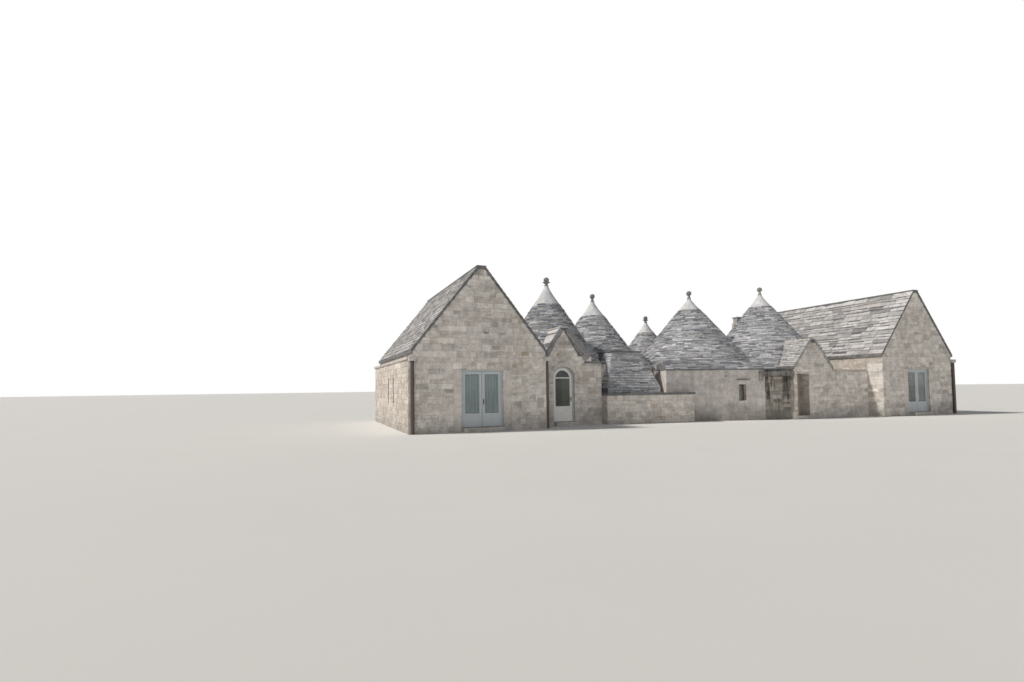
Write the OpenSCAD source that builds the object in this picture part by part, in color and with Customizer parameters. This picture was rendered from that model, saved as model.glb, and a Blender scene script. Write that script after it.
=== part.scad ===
// Trullo house: five coursed stone cones between two gabled lamie, in dry limestone.
// X runs along the gable fronts, Y runs into the depth of the house and Z is up.
// The origin is at ground level, in the middle of the whole plan.

/* [Lamie] */
// Width of a lamia across its gable
lamia_w = 4920; // [4400:10:5400]
// Length of a lamia roof from gable to gable
lamia_l = 7900; // [6800:50:8600]
// Height of the outer roof face at the eaves of a lamia
lamia_eave = 2920; // [2860:10:3100]
// Height at which the two outer roof faces of a lamia would meet
lamia_ridge = 6000; // [5600:10:6200]
// Upright thickness of the slab roof of a lamia
lamia_roof_t = 120; // [100:5:200]
// Thickness of the gable walls of a lamia
gable_t = 600; // [450:10:750]
// Thickness of the side walls of a lamia
side_t = 610; // [500:10:750]
// How far the outer side wall stands out below its ledge
ledge_w = 140; // [80:5:200]
// Height of the top face of the ledge
ledge_top = 2600; // [2450:10:2640]
// Depth of the thick foot behind the rear gable
rear_foot = 600; // [300:10:900]
// How far roofs stand out over their gables
verge = 50; // [20:5:80]
// How far the lamia roof stands out over its side walls
eave_out = 60; // [20:5:90]
// Half width of the flat ridge stones of a lamia
ridge_half = 178; // [130:2:220]
// Lip of the flat ridge stones over the roof below
ridge_lip = 12; // [5:1:25]
// Thickness of the flat ridge stones of a lamia
ridge_t = 60; // [40:5:80]
// Left edge of the east lamia along X
east_x = 15890; // [15890:10:16500]
// Front face of the east lamia along Y
east_y = -1700; // [-2200:10:-1300]
// Distance of the first slit window from the gable
slit_1_y = 3090; // [2200:10:3400]
// Distance of the inner doorway of a lamia from its gable
lamia_door_y = 2800; // [2600:10:3000]
// Distance of the second slit window from the gable
slit_2_y = 4350; // [3900:10:5200]
// Width of a slit window
slit_w = 220; // [140:5:320]
// Height of the sill of a slit window
slit_sill = 970; // [700:10:1200]
// Height of a slit window
slit_h = 990; // [700:10:1200]

/* [Slabs and floors] */
// Thickness of coping and ledge slabs
slab_t = 90; // [60:5:110]
// Lip of coping and ledge slabs over the wall below
slab_lip = 60; // [20:5:80]
// Height of the stone floors above the ground
floor_h = 150; // [100:5:200]
// Depth of the doorsteps in front of the walls
step_d = 280; // [180:10:340]
// Width of the plain doorways between rooms
inner_door_w = 800; // [700:10:900]
// Clear height of the plain doorways between rooms
inner_door_h = 1800; // [1700:10:1850]

/* [Terrace door] */
// Distance of the terrace door from the ledge side of its gable
terrace_x = 1700; // [1200:10:2000]
// Clear width of the terrace doorway
terrace_w = 1530; // [1300:10:1700]
// Height of the head of the terrace doorway
terrace_head = 2150; // [2050:10:2250]
// Face width of the fixed door frames
frame_w = 45; // [30:1:60]
// Depth of the fixed door frames
frame_d = 70; // [60:1:100]
// How far the door frames lie behind the wall face
frame_back = 70; // [40:5:120]
// Thickness of the door leaves
leaf_t = 50; // [40:1:58]
// Clearance round a door leaf
leaf_gap = 8; // [6:1:12]
// Clearance between the two leaves of a pair
meet_gap = 14; // [12:1:18]
// Width of the stiles and rails of a glazed leaf
stile_w = 95; // [70:1:120]
// Height of the bottom panel of a glazed leaf
panel_h = 470; // [350:10:600]
// Thickness of the door and window glass
glass_t = 8; // [4:1:12]

/* [Door hinges] */
// Radius of a hinge knuckle
knuckle_r = 12; // [10:0.5:14]
// Length of a hinge knuckle
knuckle_l = 60; // [45:1:80]
// Radius of a hinge pin
pin_r = 6; // [4:0.5:7]
// Distance of a hinge axis behind the inner face of its leaf
hinge_off = 18; // [18:1:22]
// Length of a hinge strap on its leaf
strap_l = 90; // [70:5:95]
// Thickness of a hinge strap and of a hinge's plate
strap_t = 9; // [6:1:10]
// Distance of a hinge from the nearer end of its leaf
hinge_in = 300; // [220:10:380]

/* [First porch] */
// Front face of the first porch along Y
porch_1_y = 1000; // [900:10:1100]
// Middle of the first porch's ridge along X
porch_1_x = 1265; // [1235:5:1295]
// Reach of the first porch roof to the left of its ridge
porch_1_left = 905; // [860:5:960]
// Reach of the first porch roof to the right of its ridge
porch_1_right = 1240; // [1190:5:1260]
// Height of the outer roof faces at the ridge of the first porch
porch_1_ridge = 3860; // [3750:10:4000]
// Height of the outer roof faces at the eaves of the first porch
porch_1_eave = 2790; // [2780:10:2850]
// Underside of the first porch's roof at the eaves
porch_1_under = 2740; // [2700:5:2760]
// Half width of the first porch's gable at the eaves
porch_1_inner = 660; // [600:10:720]
// Thickness of the roof stones at the ridge of the first porch
porch_1_top_t = 60; // [40:5:90]
// Left end of the coping slab beside the first porch along X
coping_x = 2150; // [2100:10:2250]
// Middle of the arched doorway along X
arch_x = 1255; // [1235:5:1275]
// Clear width of the arched doorway
arch_w = 930; // [840:10:1000]
// Height of the spring line of the arch
arch_spring = 1855; // [1750:5:1900]
// Length of the arch stones outwards from the doorway
arch_ring_w = 170; // [120:5:200]
// Depth of the arch stones into the wall
arch_ring_d = 180; // [150:5:240]
// How far the arch stones stand out from the wall
arch_proud = 25; // [10:1:40]
// Extra width of the inner embrasure on each side
embrasure = 100; // [60:5:140]
// Height of the inner embrasure above the arch
embrasure_rise = 60; // [40:5:70]
// Width of the arched leaf's middle rail
transom_w = 45; // [30:1:60]
// Height of the bottom panel of the arched leaf
arch_panel_h = 600; // [450:10:700]

/* [Front trullo block] */
// Wall top of the front trullo block
front_top = 2450; // [2420:5:2480]
// Thickness of the walls of the front trullo block
front_t = 600; // [520:10:640]
// Right end of the front wall along X
front_right = 2950; // [2850:10:3050]
// Inner face of the rear wall of the first room along Y
room_1_back = 4800; // [4600:10:4800]
// Front face of the second room along Y
room_2_y = 2200; // [2150:10:2300]
// Outer face of the rear wall of the second room along Y
room_2_back = 6650; // [6500:10:6680]
// Right side of the second room along X
room_2_right = 6150; // [5900:10:6200]
// Distance of the doorway between the first two rooms from the second room's front
room_door_y = 400; // [300:10:600]

/* [Porch roofs] */
// Half width of the flat ridge stones of a porch
porch_cap_half = 180; // [140:5:220]
// Thickness of the flat ridge stones of a porch
porch_cap_t = 50; // [35:5:60]
// Depth of a porch gable wall above the eaves
porch_gable_t = 450; // [350:10:500]
// Length of a porch roof up to where it dies into its cone
porch_depth = 2600; // [2400:50:2800]

/* [White wing] */
// Front left corner of the white wing along X
wing_x = 5900; // [5860:10:5960]
// Front left corner of the white wing along Y
wing_y = 690; // [650:10:730]
// Clockwise turn of the white wing, in degrees
wing_turn = 17.4; // [16.4:0.1:18.4]
// Wall top of the white wing
wing_top = 2150; // [2080:5:2160]
// Depth of the wing from its front to its rear face
wing_d = 6400; // [6300:10:6600]
// Length of the whitewashed wall
white_l = 4300; // [4240:10:4360]
// Inner length of the wing up to its cross wall
wing_room_l = 4000; // [3900:10:4060]
// Distance of the wing's inner doorways from its front
wing_door_y = 2900; // [2750:10:3100]
// Thickness of the front and rear walls of the wing
wing_front_t = 1100; // [1000:10:1200]
// Thickness of the side walls of the wing
wing_side_t = 600; // [500:10:700]
// Distance of the window from the left end of the white wall
window_x = 3170; // [2900:10:3400]
// Width of the small window
window_w = 330; // [260:10:420]
// Height of the sill of the small window
window_sill = 840; // [700:10:1000]
// Height of the small window
window_h = 690; // [500:10:760]
// Depth of the small window's pane behind the wall face
window_back = 260; // [180:10:320]
// Height of the hood slab over the small window
hood_rise = 180; // [120:10:240]
// Thickness of the hood slab
hood_t = 50; // [35:5:60]
// How far the hood slab stands out from the wall
hood_out = 130; // [90:5:160]
// Lip of the hood slab past each side of the window
hood_lip = 90; // [60:5:130]
// Depth of the stained bay behind the white wall's face
bay_back = 150; // [80:5:220]
// Underside of the lintel over the stained bay
bay_head = 1850; // [1750:10:1900]
// Height of the straight roof skirt above the white wall
skirt_h = 400; // [300:10:500]
// Length of the gutter stone
gutter_l = 1500; // [1350:10:1540]
// How far the gutter stone stands out
gutter_out = 130; // [90:5:180]
// Height of the gutter stone
gutter_h = 190; // [140:5:220]
// Distance of the gutter stone's top below the wall top
gutter_drop = 80; // [60:5:110]
// Thickness of the gutter stone round its channel
gutter_lip = 30; // [25:1:45]
// Depth of the gutter stone's channel
channel_d = 60; // [40:5:90]
// Distance of the gutter stone from the second porch
gutter_end = 20; // [5:5:60]
// Width of the brackets under the gutter stone
bracket_w = 150; // [110:5:200]
// Height of the brackets under the gutter stone
bracket_h = 200; // [150:10:260]

/* [Second porch] */
// Left end of the second porch along X
porch_2_x = 11240; // [11200:10:11280]
// Front face of the second porch along Y
porch_2_y = -1000; // [-1040:10:-960]
// Width of the second porch roof
porch_2_w = 2360; // [2200:10:2500]
// Height of the outer roof face at the ridge of the second porch
porch_2_ridge = 3450; // [3300:10:3600]
// Height of the outer roof face at the eaves of the second porch
porch_2_eave = 2290; // [2285:5:2350]
// Upright thickness of the roof of the second porch
porch_2_roof_t = 120; // [90:5:130]
// Thickness of the wall of the second porch
porch_2_wall_t = 1000; // [900:10:1050]
// Distance of the plank doorway from the left end of the porch
plank_x = 210; // [180:10:320]
// Clear width of the plank doorway
plank_w = 700; // [640:10:760]
// Height of the head of the plank doorway
plank_head = 1950; // [1900:10:2000]
// Thickness of the plank door
plank_t = 40; // [30:1:50]
// Distance of the plank door behind the wall face
plank_back = 420; // [350:10:480]
// Angle at which the plank door stands ajar, in degrees
plank_ajar = 35; // [20:1:50]
// Left face of the wall beside the east lamia along X
room_4_right = 14950; // [14850:10:15050]

/* [Cones] */
// Middle of cone 1 along X
cone_1_x = 1600; // [1560:10:1640]
// Middle of cone 1 along Y
cone_1_y = 3200; // [3160:10:3220]
// Base radius of cone 1
cone_1_r = 2300; // [2290:10:2360]
// Height of the point of cone 1
cone_1_top = 5950; // [5700:10:6200]
// Middle of cone 2 along X
cone_2_x = 4600; // [4560:10:4620]
// Middle of cone 2 along Y
cone_2_y = 4400; // [4380:10:4440]
// Base radius of cone 2
cone_2_r = 2290; // [2260:10:2300]
// Height of the point of cone 2
cone_2_top = 5580; // [5350:10:5800]
// Middle of cone 3 along X
cone_3_x = 8990; // [8950:10:9030]
// Middle of cone 3 along Y
cone_3_y = 2770; // [2740:10:2800]
// Base radius of cone 3
cone_3_r = 2970; // [2920:10:3000]
// Height of the point of cone 3
cone_3_top = 5680; // [5450:10:5900]
// Middle of cone 4 along X
cone_4_x = 12850; // [12820:10:12870]
// Middle of cone 4 along Y
cone_4_y = 2150; // [2120:10:2180]
// Base radius of cone 4
cone_4_r = 3000; // [2970:10:3010]
// Height of the point of cone 4
cone_4_top = 5970; // [5700:10:6200]
// Middle of cone 5 along X
cone_5_x = 9800; // [9760:10:9840]
// Middle of cone 5 along Y
cone_5_y = 7400; // [7370:10:7430]
// Base radius of cone 5
cone_5_r = 2100; // [2080:10:2140]
// Height of the point of cone 5
cone_5_top = 5100; // [4900:10:5300]
// Thickness of a cone at its base
shell_t = 550; // [450:10:600]
// Height of a course of slabs on the cones
course_h = 105; // [85:5:200]
// Lip of a course of slabs over the one below
course_lip = 14; // [6:1:22]
// Height of the edge stones round a cone
drip_h = 50; // [30:5:80]
// Lip of a lime-washed cap over its cone
cap_lip = 25; // [10:1:40]
// Radius of a cap at its neck
neck_r = 75; // [60:1:90]
// Height of the cap of cone 1
cap_1_h = 850; // [700:10:950]
// Height of the cap of cone 2
cap_2_h = 720; // [600:10:850]
// Height of the cap of cone 3
cap_3_h = 550; // [480:10:700]
// Height of the cap of cone 4
cap_4_h = 620; // [520:10:750]
// Height of the cap of cone 5
cap_5_h = 570; // [480:10:700]
// Radius of the ball on a cap
ball_r = 120; // [95:1:135]
// Radius of the collar stone under a ball
collar_r = 95; // [92:1:110]
// Height of the collar stone under a ball
collar_h = 35; // [25:1:50]
// Height of the stone neck under a ball
stem_h = 170; // [140:5:240]
// Radius of the saucer stone under the balls of cones 1 and 5
saucer_r = 165; // [150:5:200]
// Height of the saucer stone
saucer_h = 95; // [70:5:120]

/* [Chimney] */
// Left side of the chimney along X
chimney_x = 12050; // [12020:10:12100]
// Front side of the chimney along Y
chimney_y = 2880; // [2850:10:2920]
// Width of the chimney
chimney_w = 260; // [220:10:300]
// Height of the top of the chimney
chimney_top = 4950; // [4850:10:5050]
// Thickness of the chimney's cap slab
chimney_cap_t = 50; // [35:5:70]
// Lip of the chimney's cap slab and of its foot
chimney_lip = 40; // [25:5:60]
// Height of the chimney's foot above the cone beside it
chimney_foot = 4640; // [4550:10:4700]

/* [Rear trullo room] */
// Left outer face of the rear room, along the wing
rear_x = -400; // [-440:10:-380]
// Width of the rear room
rear_w = 4200; // [4150:10:4300]
// Depth of the rear room behind the wing
rear_d = 3300; // [3280:10:3400]
// Thickness of the side walls of the rear room
rear_t = 600; // [580:10:660]
// Thickness of the rear wall of the rear room
rear_back_t = 700; // [600:10:750]

/* [Oven and courtyard wall] */
// Distance of the oven from the right end of the front wall
oven_off = 300; // [290:10:360]
// Width of the oven
oven_w = 2600; // [2500:10:2650]
// Height of the oven wall under its roof
oven_wall = 1460; // [1350:10:1550]
// Height of the top of the oven roof
oven_top = 2970; // [2900:10:3000]
// Depth of the oven into the wall behind it
oven_reach = 500; // [400:10:600]
// How far the oven roof draws in on each side
oven_in = 575; // [500:5:620]
// Thickness of the flat top slab of the oven
oven_slab = 60; // [40:5:80]
// How far the courtyard wall laps the end of the front wall
yard_lap = 45; // [20:5:45]
// Clockwise turn of the courtyard wall, in degrees
yard_turn = 10; // [9.8:0.1:10.6]
// Length of the courtyard wall
yard_l = 3900; // [3500:10:3900]
// Thickness of the courtyard wall
yard_t = 450; // [350:10:455]
// Height of the courtyard wall with its slab
yard_h = 1240; // [1100:10:1340]

/* [Rain pipes] */
// Radius of the rain pipe
pipe_r = 62; // [50:1:68]
// Height of the top of the corner rain pipe
pipe_top = 2480; // [2300:10:2490]
// Gap between a rain pipe and the wall beside it
pipe_gap = 10; // [5:1:20]
// Distance of the middle of the corner pipe behind the gable face
pipe_y = 62; // [55:1:90]
// Height of a pipe clip
clip_h = 30; // [20:1:50]
// Height of the lower pipe clip above the ground
clip_1_z = 500; // [300:10:900]
// Height of the upper pipe clip above the ground
clip_2_z = 2050; // [1600:10:2200]
// Height of the spout stones over the rain pipes
spout_h = 150; // [110:5:155]
// Length of the spout stones along the gable
spout_l = 230; // [200:5:260]
// How far the spout stones stand out from the gable
spout_out = 150; // [140:5:180]
// How far the corner spout stone laps the gable
spout_lap = 95; // [60:5:120]
// Distance of the outer rain pipe from the ledge side of its gable
outer_pipe_x = -22; // [-60:2:40]
// Height of the top of the outer rain pipes
outer_pipe_top = 2450; // [2300:10:2480]
// Thickness of a clip round the pipe
clip_t = 5; // [3:1:9]

/* [Hidden] */
$fn = 96;
cone_fn = 360;
seat = 0.3;
slope_seat = 2 * seat;
mid_x = east_x / 2;
front_y = east_y - step_d;
back_y = wing_y - rear_x * sin(wing_turn) + (wing_d + rear_d) * cos(wing_turn);
mid_y = (front_y + back_y) / 2;
oven_x = front_right + oven_off;
yard_y = porch_1_y + yard_lap - yard_t / cos(yard_turn);
lamia_slope = (lamia_ridge - lamia_eave) / (lamia_w / 2);
ledge_under = ledge_top - slab_t;
CONES = [
    [cone_1_x, cone_1_y, front_top, cone_1_r, cone_1_top, cap_1_h],
    [cone_2_x, cone_2_y, front_top, cone_2_r, cone_2_top, cap_2_h],
    [cone_3_x, cone_3_y, wing_top, cone_3_r, cone_3_top, cap_3_h],
    [cone_4_x, cone_4_y, wing_top, cone_4_r, cone_4_top, cap_4_h],
    [cone_5_x, cone_5_y, wing_top, cone_5_r, cone_5_top, cap_5_h]
];
stone = "#b9aa93";
white_stone = "#dcd8cf";
roof_stone = "#9b9b98";
lime = "#eceae4";
paint = "#e4e5df";
glass = "#33414a";
far = 40000;
porch_2_seat_x = porch_2_x - seat;
room_4_left = wing_room_l + wing_side_t;
wing_inner_y = wing_d - wing_front_t;
frame_y1 = frame_back + frame_d;
leaf_z0 = floor_h + leaf_gap;
leaf_z1 = terrace_head - frame_w - leaf_gap;
terrace_mid = terrace_x + terrace_w / 2;
leaf_x0 = terrace_x + frame_w + leaf_gap;
leaf_w = terrace_mid - meet_gap / 2 - leaf_x0;
leaf_side = leaf_gap / 2;
arch_frame_y1 = porch_1_y + arch_ring_d;
arch_frame_y0 = arch_frame_y1 - frame_d;
arch_leaf_r = arch_w / 2 - frame_w - leaf_gap;
arch_leaf_x0 = arch_x - arch_leaf_r;
arch_glass_z0 = floor_h + leaf_gap + arch_panel_h;
arch_l = arch_x - arch_w / 2;
arch_r = arch_x + arch_w / 2;
embrasure_top = arch_spring + arch_w / 2 + embrasure_rise;
porch_2_door_x = porch_2_x + plank_x;
porch_1_split = porch_1_y + porch_gable_t;
porch_2_split = porch_2_y + porch_gable_t;
plank_jamb = knuckle_r + 2;
plank_z1 = plank_head - leaf_gap;
gutter_top = wing_top - gutter_drop;
gutter_z0 = gutter_top - gutter_h;
skirt_steps = 4;
dome_steps = 7;
dome_share = 0.76;
cap_steps = 6;
porch_2_mid = porch_2_x + porch_2_w / 2;
porch_1_x0 = porch_1_x - porch_1_left;
porch_1_x1 = porch_1_x + porch_1_right;
porch_2_x1 = porch_2_x + porch_2_w;
gutter_x1 = wing_t(porch_2_x, 0) - gutter_end;
lamia_flat = lamia_ridge - (ridge_half - ridge_lip) * lamia_slope;
lamia_crown = lamia_flat - lamia_roof_t / 2;
lamia_crown_x = lamia_reach(lamia_crown + lamia_roof_t);

// Frames of reference
module site() translate([-mid_x, -mid_y, 0]) children();
module wing() site() translate([wing_x, wing_y, 0]) rotate(-wing_turn) children();
module west_lamia() site() translate([-lamia_w, 0, 0]) children();
module east_lamia() site() translate([east_x + lamia_w, east_y, 0]) mirror([1, 0, 0]) children();
module both_lamie() {
    west_lamia() children();
    east_lamia() children();
}

// Plain solids between two corners or between two planes
module block(x0, x1, y0, y1, z0, z1) translate([x0, y0, z0]) cube([x1 - x0, y1 - y0, z1 - z0]);
module across(points, y0, y1)
    translate([0, y1, 0]) rotate([90, 0, 0]) linear_extrude(y1 - y0) polygon(points);
module along(points, x0, x1)
    translate([x0, 0, 0]) rotate([90, 0, 90]) linear_extrude(x1 - x0) polygon(points);
module plan(points, z0, z1) translate([0, 0, z0]) linear_extrude(z1 - z0) polygon(points);

// Where the turned wing meets a line of constant X, and its left side at a given Y
function wing_t(x, n) = (x - wing_x - n * sin(wing_turn)) / cos(wing_turn);
function wing_line(x, n) = wing_y - wing_t(x, n) * sin(wing_turn) + n * cos(wing_turn);
function wing_left(y) = wing_x + (y - wing_y) * tan(wing_turn) - seat;
function wing_point(t, n) =
    [wing_x + t * cos(wing_turn) + n * sin(wing_turn), wing_y - t * sin(wing_turn) + n * cos(wing_turn)];

// Underside of a lamia roof at a distance from its side
function lamia_under(x) = lamia_eave + lamia_slope * min(x, lamia_w - x) - lamia_roof_t - slope_seat;
function lamia_reach(z) = (z - lamia_eave) / lamia_slope;

// Lamie
module lamia_pier_pair() {
    block(-ledge_w, terrace_x, 0, gable_t, 0, terrace_head);
    block(terrace_x + terrace_w, lamia_w, 0, gable_t, 0, terrace_head);
}
module lamia_front_piers() color(stone) both_lamie() lamia_pier_pair();

module gable_outline(y0, y1, z0)
    across([
        [-ledge_w, z0], [lamia_w, z0], [lamia_w, lamia_under(lamia_w)],
        [lamia_w - lamia_crown_x, lamia_crown - slope_seat], [lamia_crown_x, lamia_crown - slope_seat],
        [0, lamia_under(0)], [0, ledge_under], [-ledge_w, ledge_under]
    ], y0, y1);
module lamia_gables() color(stone) both_lamie() gable_outline(0, gable_t, terrace_head);

module lamia_outer_walls() color(stone) both_lamie() difference() {
    across([
        [-ledge_w, 0], [side_t, 0], [side_t, lamia_under(side_t)], [0, lamia_under(0)],
        [0, ledge_under], [-ledge_w, ledge_under]
    ], gable_t, lamia_l - gable_t);
    for (y = [slit_1_y, slit_2_y])
        block(-far, far, y - slit_w / 2, y + slit_w / 2, slit_sill, slit_sill + slit_h);
}

module lamia_inner_walls() color(stone) both_lamie() difference() {
    across([
        [lamia_w - side_t, 0], [lamia_w, 0], [lamia_w, lamia_under(0)],
        [lamia_w - side_t, lamia_under(side_t)]
    ], gable_t, lamia_l - gable_t);
    block(0, far, lamia_door_y, lamia_door_y + inner_door_w, floor_h, floor_h + inner_door_h);
}

module lamia_rear_walls() color(stone) both_lamie() {
    gable_outline(lamia_l - gable_t, lamia_l, 0);
    block(-ledge_w, lamia_w, lamia_l, lamia_l + rear_foot, 0, ledge_under);
}

module lamia_slope_slab() {
    low = lamia_eave - eave_out * lamia_slope;
    across([
        [-eave_out, low], [-eave_out, low - lamia_roof_t], [lamia_crown_x, lamia_crown],
        [lamia_w / 2, lamia_crown], [lamia_w / 2, lamia_flat], [lamia_reach(lamia_flat), lamia_flat]
    ], -verge, lamia_l + verge);
}
module lamia_roof_outer() color(roof_stone) both_lamie() lamia_slope_slab();
module lamia_roof_inner() color(roof_stone) both_lamie()
    translate([lamia_w, 0, 0]) mirror([1, 0, 0]) lamia_slope_slab();

module lamia_ridge_slabs() color(white_stone) both_lamie()
    block(lamia_w / 2 - ridge_half, lamia_w / 2 + ridge_half, -verge, lamia_l + verge,
        lamia_flat, lamia_flat + ridge_t);

// Stone that leads the rain from between two roofs into the corner pipe
module corner_spout() {
    block(0, spout_l, -spout_out / 2, spout_out, pipe_top, pipe_top + spout_h);
    block(-spout_lap, spout_l, -spout_out / 2, 0, pipe_top, pipe_top + spout_h);
}
module lamia_ledge_slabs() color(white_stone) {
    site() corner_spout();
    both_lamie() ledge_run();
}
module ledge_run() {
    block(-ledge_w - slab_lip, 0, 0, lamia_l, ledge_under, ledge_top);
    block(-ledge_w - slab_lip, lamia_w, lamia_l, lamia_l + rear_foot + slab_lip, ledge_under, ledge_top);
    block(-ledge_w, spout_l - ledge_w, -spout_out, 0, outer_pipe_top, outer_pipe_top + spout_h);
}

// Floors and steps
module lamia_floor() block(side_t, lamia_w - side_t, gable_t, lamia_l - gable_t, 0, floor_h);
module stone_floors() color(white_stone) {
    both_lamie() lamia_floor();
    site() block(0, front_right, porch_1_y + front_t, room_1_back, 0, floor_h);
    site() block(front_right + front_t, room_2_right, room_2_y + front_t, room_2_back - front_t, 0, floor_h);
    wing() block(wing_side_t, wing_room_l, wing_front_t, wing_inner_y, 0, floor_h);
    site() plan([
        wing_point(room_4_left + seat, wing_front_t + seat),
        [porch_2_x, wing_line(porch_2_x, wing_front_t + seat)],
        [porch_2_x, porch_2_y + porch_2_wall_t],
        [room_4_right, porch_2_y + porch_2_wall_t],
        [room_4_right, wing_line(room_4_right, wing_inner_y - seat)],
        wing_point(room_4_left + seat, wing_inner_y - seat)
    ], 0, floor_h);
    wing() block(rear_x + rear_t, rear_x + rear_w - rear_t, wing_d, wing_d + rear_d - rear_back_t, 0, floor_h);
}

module doorsteps() color(white_stone) {
    both_lamie() block(terrace_x, terrace_x + terrace_w, -step_d, gable_t, 0, floor_h);
    site() block(arch_l, arch_r, porch_1_y - step_d, arch_frame_y1, 0, floor_h);
    site() block(arch_l - embrasure, arch_r + embrasure, arch_frame_y1, porch_1_y + front_t, 0, floor_h);
    site() block(porch_2_x + plank_x, porch_2_x + plank_x + plank_w,
        porch_2_y, porch_2_y + porch_2_wall_t, 0, floor_h);
}

// Terrace door, in the frame of a lamia
module terrace_frame() difference() {
    block(terrace_x, terrace_x + terrace_w, frame_back, frame_y1, floor_h, terrace_head);
    block(terrace_x + frame_w, terrace_x + terrace_w - frame_w, -far, far, -far, terrace_head - frame_w);
}

// Lift-off hinges. The origin is on the hinge axis, X runs into the doorway and Y into the room
module leaf_knuckle(strap) difference() {
    union() {
        cylinder(h = knuckle_l, r = knuckle_r);
        translate([0, -hinge_off, 0]) cube([strap, strap_t, knuckle_l]);
    }
    translate([0, 0, -seat]) cylinder(h = knuckle_l * 0.8, r = pin_r + seat);
}
module fixed_knuckle() {
    translate([0, 0, -knuckle_l - seat]) cylinder(h = knuckle_l, r = knuckle_r);
    translate([0, 0, -2 * seat]) cylinder(h = knuckle_l * 0.7, r = pin_r);
}
module frame_hinge() {
    fixed_knuckle();
    translate([-frame_w + seat, -hinge_off, -knuckle_l - seat]) cube([frame_w - leaf_side, strap_t, knuckle_l]);
}
module two_heights(z0, z1) for (z = [z0 + hinge_in, z1 - hinge_in]) translate([0, 0, z]) children();

// A glazed leaf of a terrace door, hung on its hinge axis
module leaf_opening(y0, y1)
    block(leaf_side + stile_w, leaf_side + leaf_w - stile_w, y0, y1, leaf_z0 + panel_h, leaf_z1 - stile_w);
module glazed_leaf() {
    difference() {
        block(leaf_side, leaf_side + leaf_w, -hinge_off - leaf_t, -hinge_off, leaf_z0, leaf_z1);
        leaf_opening(-far, far);
        block(leaf_side + stile_w, leaf_side + leaf_w - stile_w, -far, leaf_t / 4 - hinge_off - leaf_t,
            leaf_z0 + stile_w, leaf_z0 + panel_h - stile_w);
    }
    two_heights(leaf_z0, leaf_z1) leaf_knuckle(strap_l);
}
module leaf_pane()
    leaf_opening(-hinge_off - leaf_t / 2 - glass_t / 2, -hinge_off - leaf_t / 2 + glass_t / 2);
module left_leaf_place()
    translate([leaf_x0 - leaf_side, frame_y1 + hinge_off, 0]) children();
module right_leaf_place()
    translate([2 * terrace_mid - leaf_x0 + leaf_side, frame_y1 + hinge_off, 0]) mirror([1, 0, 0]) children();
module terrace_leaf_left() color(paint) west_lamia() left_leaf_place() glazed_leaf();
module terrace_leaf_right() color(paint) west_lamia() right_leaf_place() glazed_leaf();
module terrace_glass_left() color(glass) west_lamia() left_leaf_place() leaf_pane();
module terrace_glass_right() color(glass) west_lamia() right_leaf_place() leaf_pane();
module east_door_leaves() color(paint) east_lamia() {
    left_leaf_place() glazed_leaf();
    right_leaf_place() glazed_leaf();
}
module east_door_glass() color(glass) east_lamia() {
    left_leaf_place() leaf_pane();
    right_leaf_place() leaf_pane();
}

// Half disc above the spring line, and the round-topped opening under it
module half_round(r, spring, y0, y1)
    translate([arch_x, y1, spring]) rotate([90, 0, 0]) linear_extrude(y1 - y0) intersection() {
        circle(r);
        translate([-2 * r, 0]) square([4 * r, 2 * r]);
    }
module arch_shape(r, spring, z0, y0, y1) {
    translate([arch_x, 0, 0]) block(-r, r, y0, y1, z0, spring);
    half_round(r, spring, y0, y1);
}
module arched_frame() difference() {
    arch_shape(arch_w / 2 - seat, arch_spring, floor_h, arch_frame_y0, arch_frame_y1);
    arch_shape(arch_w / 2 - frame_w, arch_spring, -far, arch_frame_y0 - 1, arch_frame_y1 + 1);
}
module door_frames() color(paint) {
    both_lamie() terrace_frame();
    site() arched_frame();
}
module arched_glazing(y0, y1) difference() {
    arch_shape(arch_leaf_r - stile_w, arch_spring, arch_glass_z0, y0, y1);
    block(-far, far, y0 - 1, y1 + 1, arch_spring, arch_spring + transom_w);
}
module arched_hinges()
    translate([arch_leaf_x0 - leaf_side, arch_frame_y1 + hinge_off, 0])
        two_heights(leaf_z0, arch_spring + hinge_in / 2) children();
module arched_leaf() color(paint) site() {
    difference() {
        arch_shape(arch_leaf_r, arch_spring, leaf_z0, arch_frame_y1 - leaf_t, arch_frame_y1);
        arched_glazing(-far, far);
        block(arch_x - arch_leaf_r + stile_w, arch_x + arch_leaf_r - stile_w, -far,
            arch_frame_y1 - leaf_t * 3 / 4, leaf_z0 + stile_w, arch_glass_z0 - stile_w);
    }
    arched_hinges() leaf_knuckle(strap_l);
}
module arched_glass() color(glass) site()
    arched_glazing(arch_frame_y1 - leaf_t / 2 - glass_t / 2, arch_frame_y1 - leaf_t / 2 + glass_t / 2);

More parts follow.
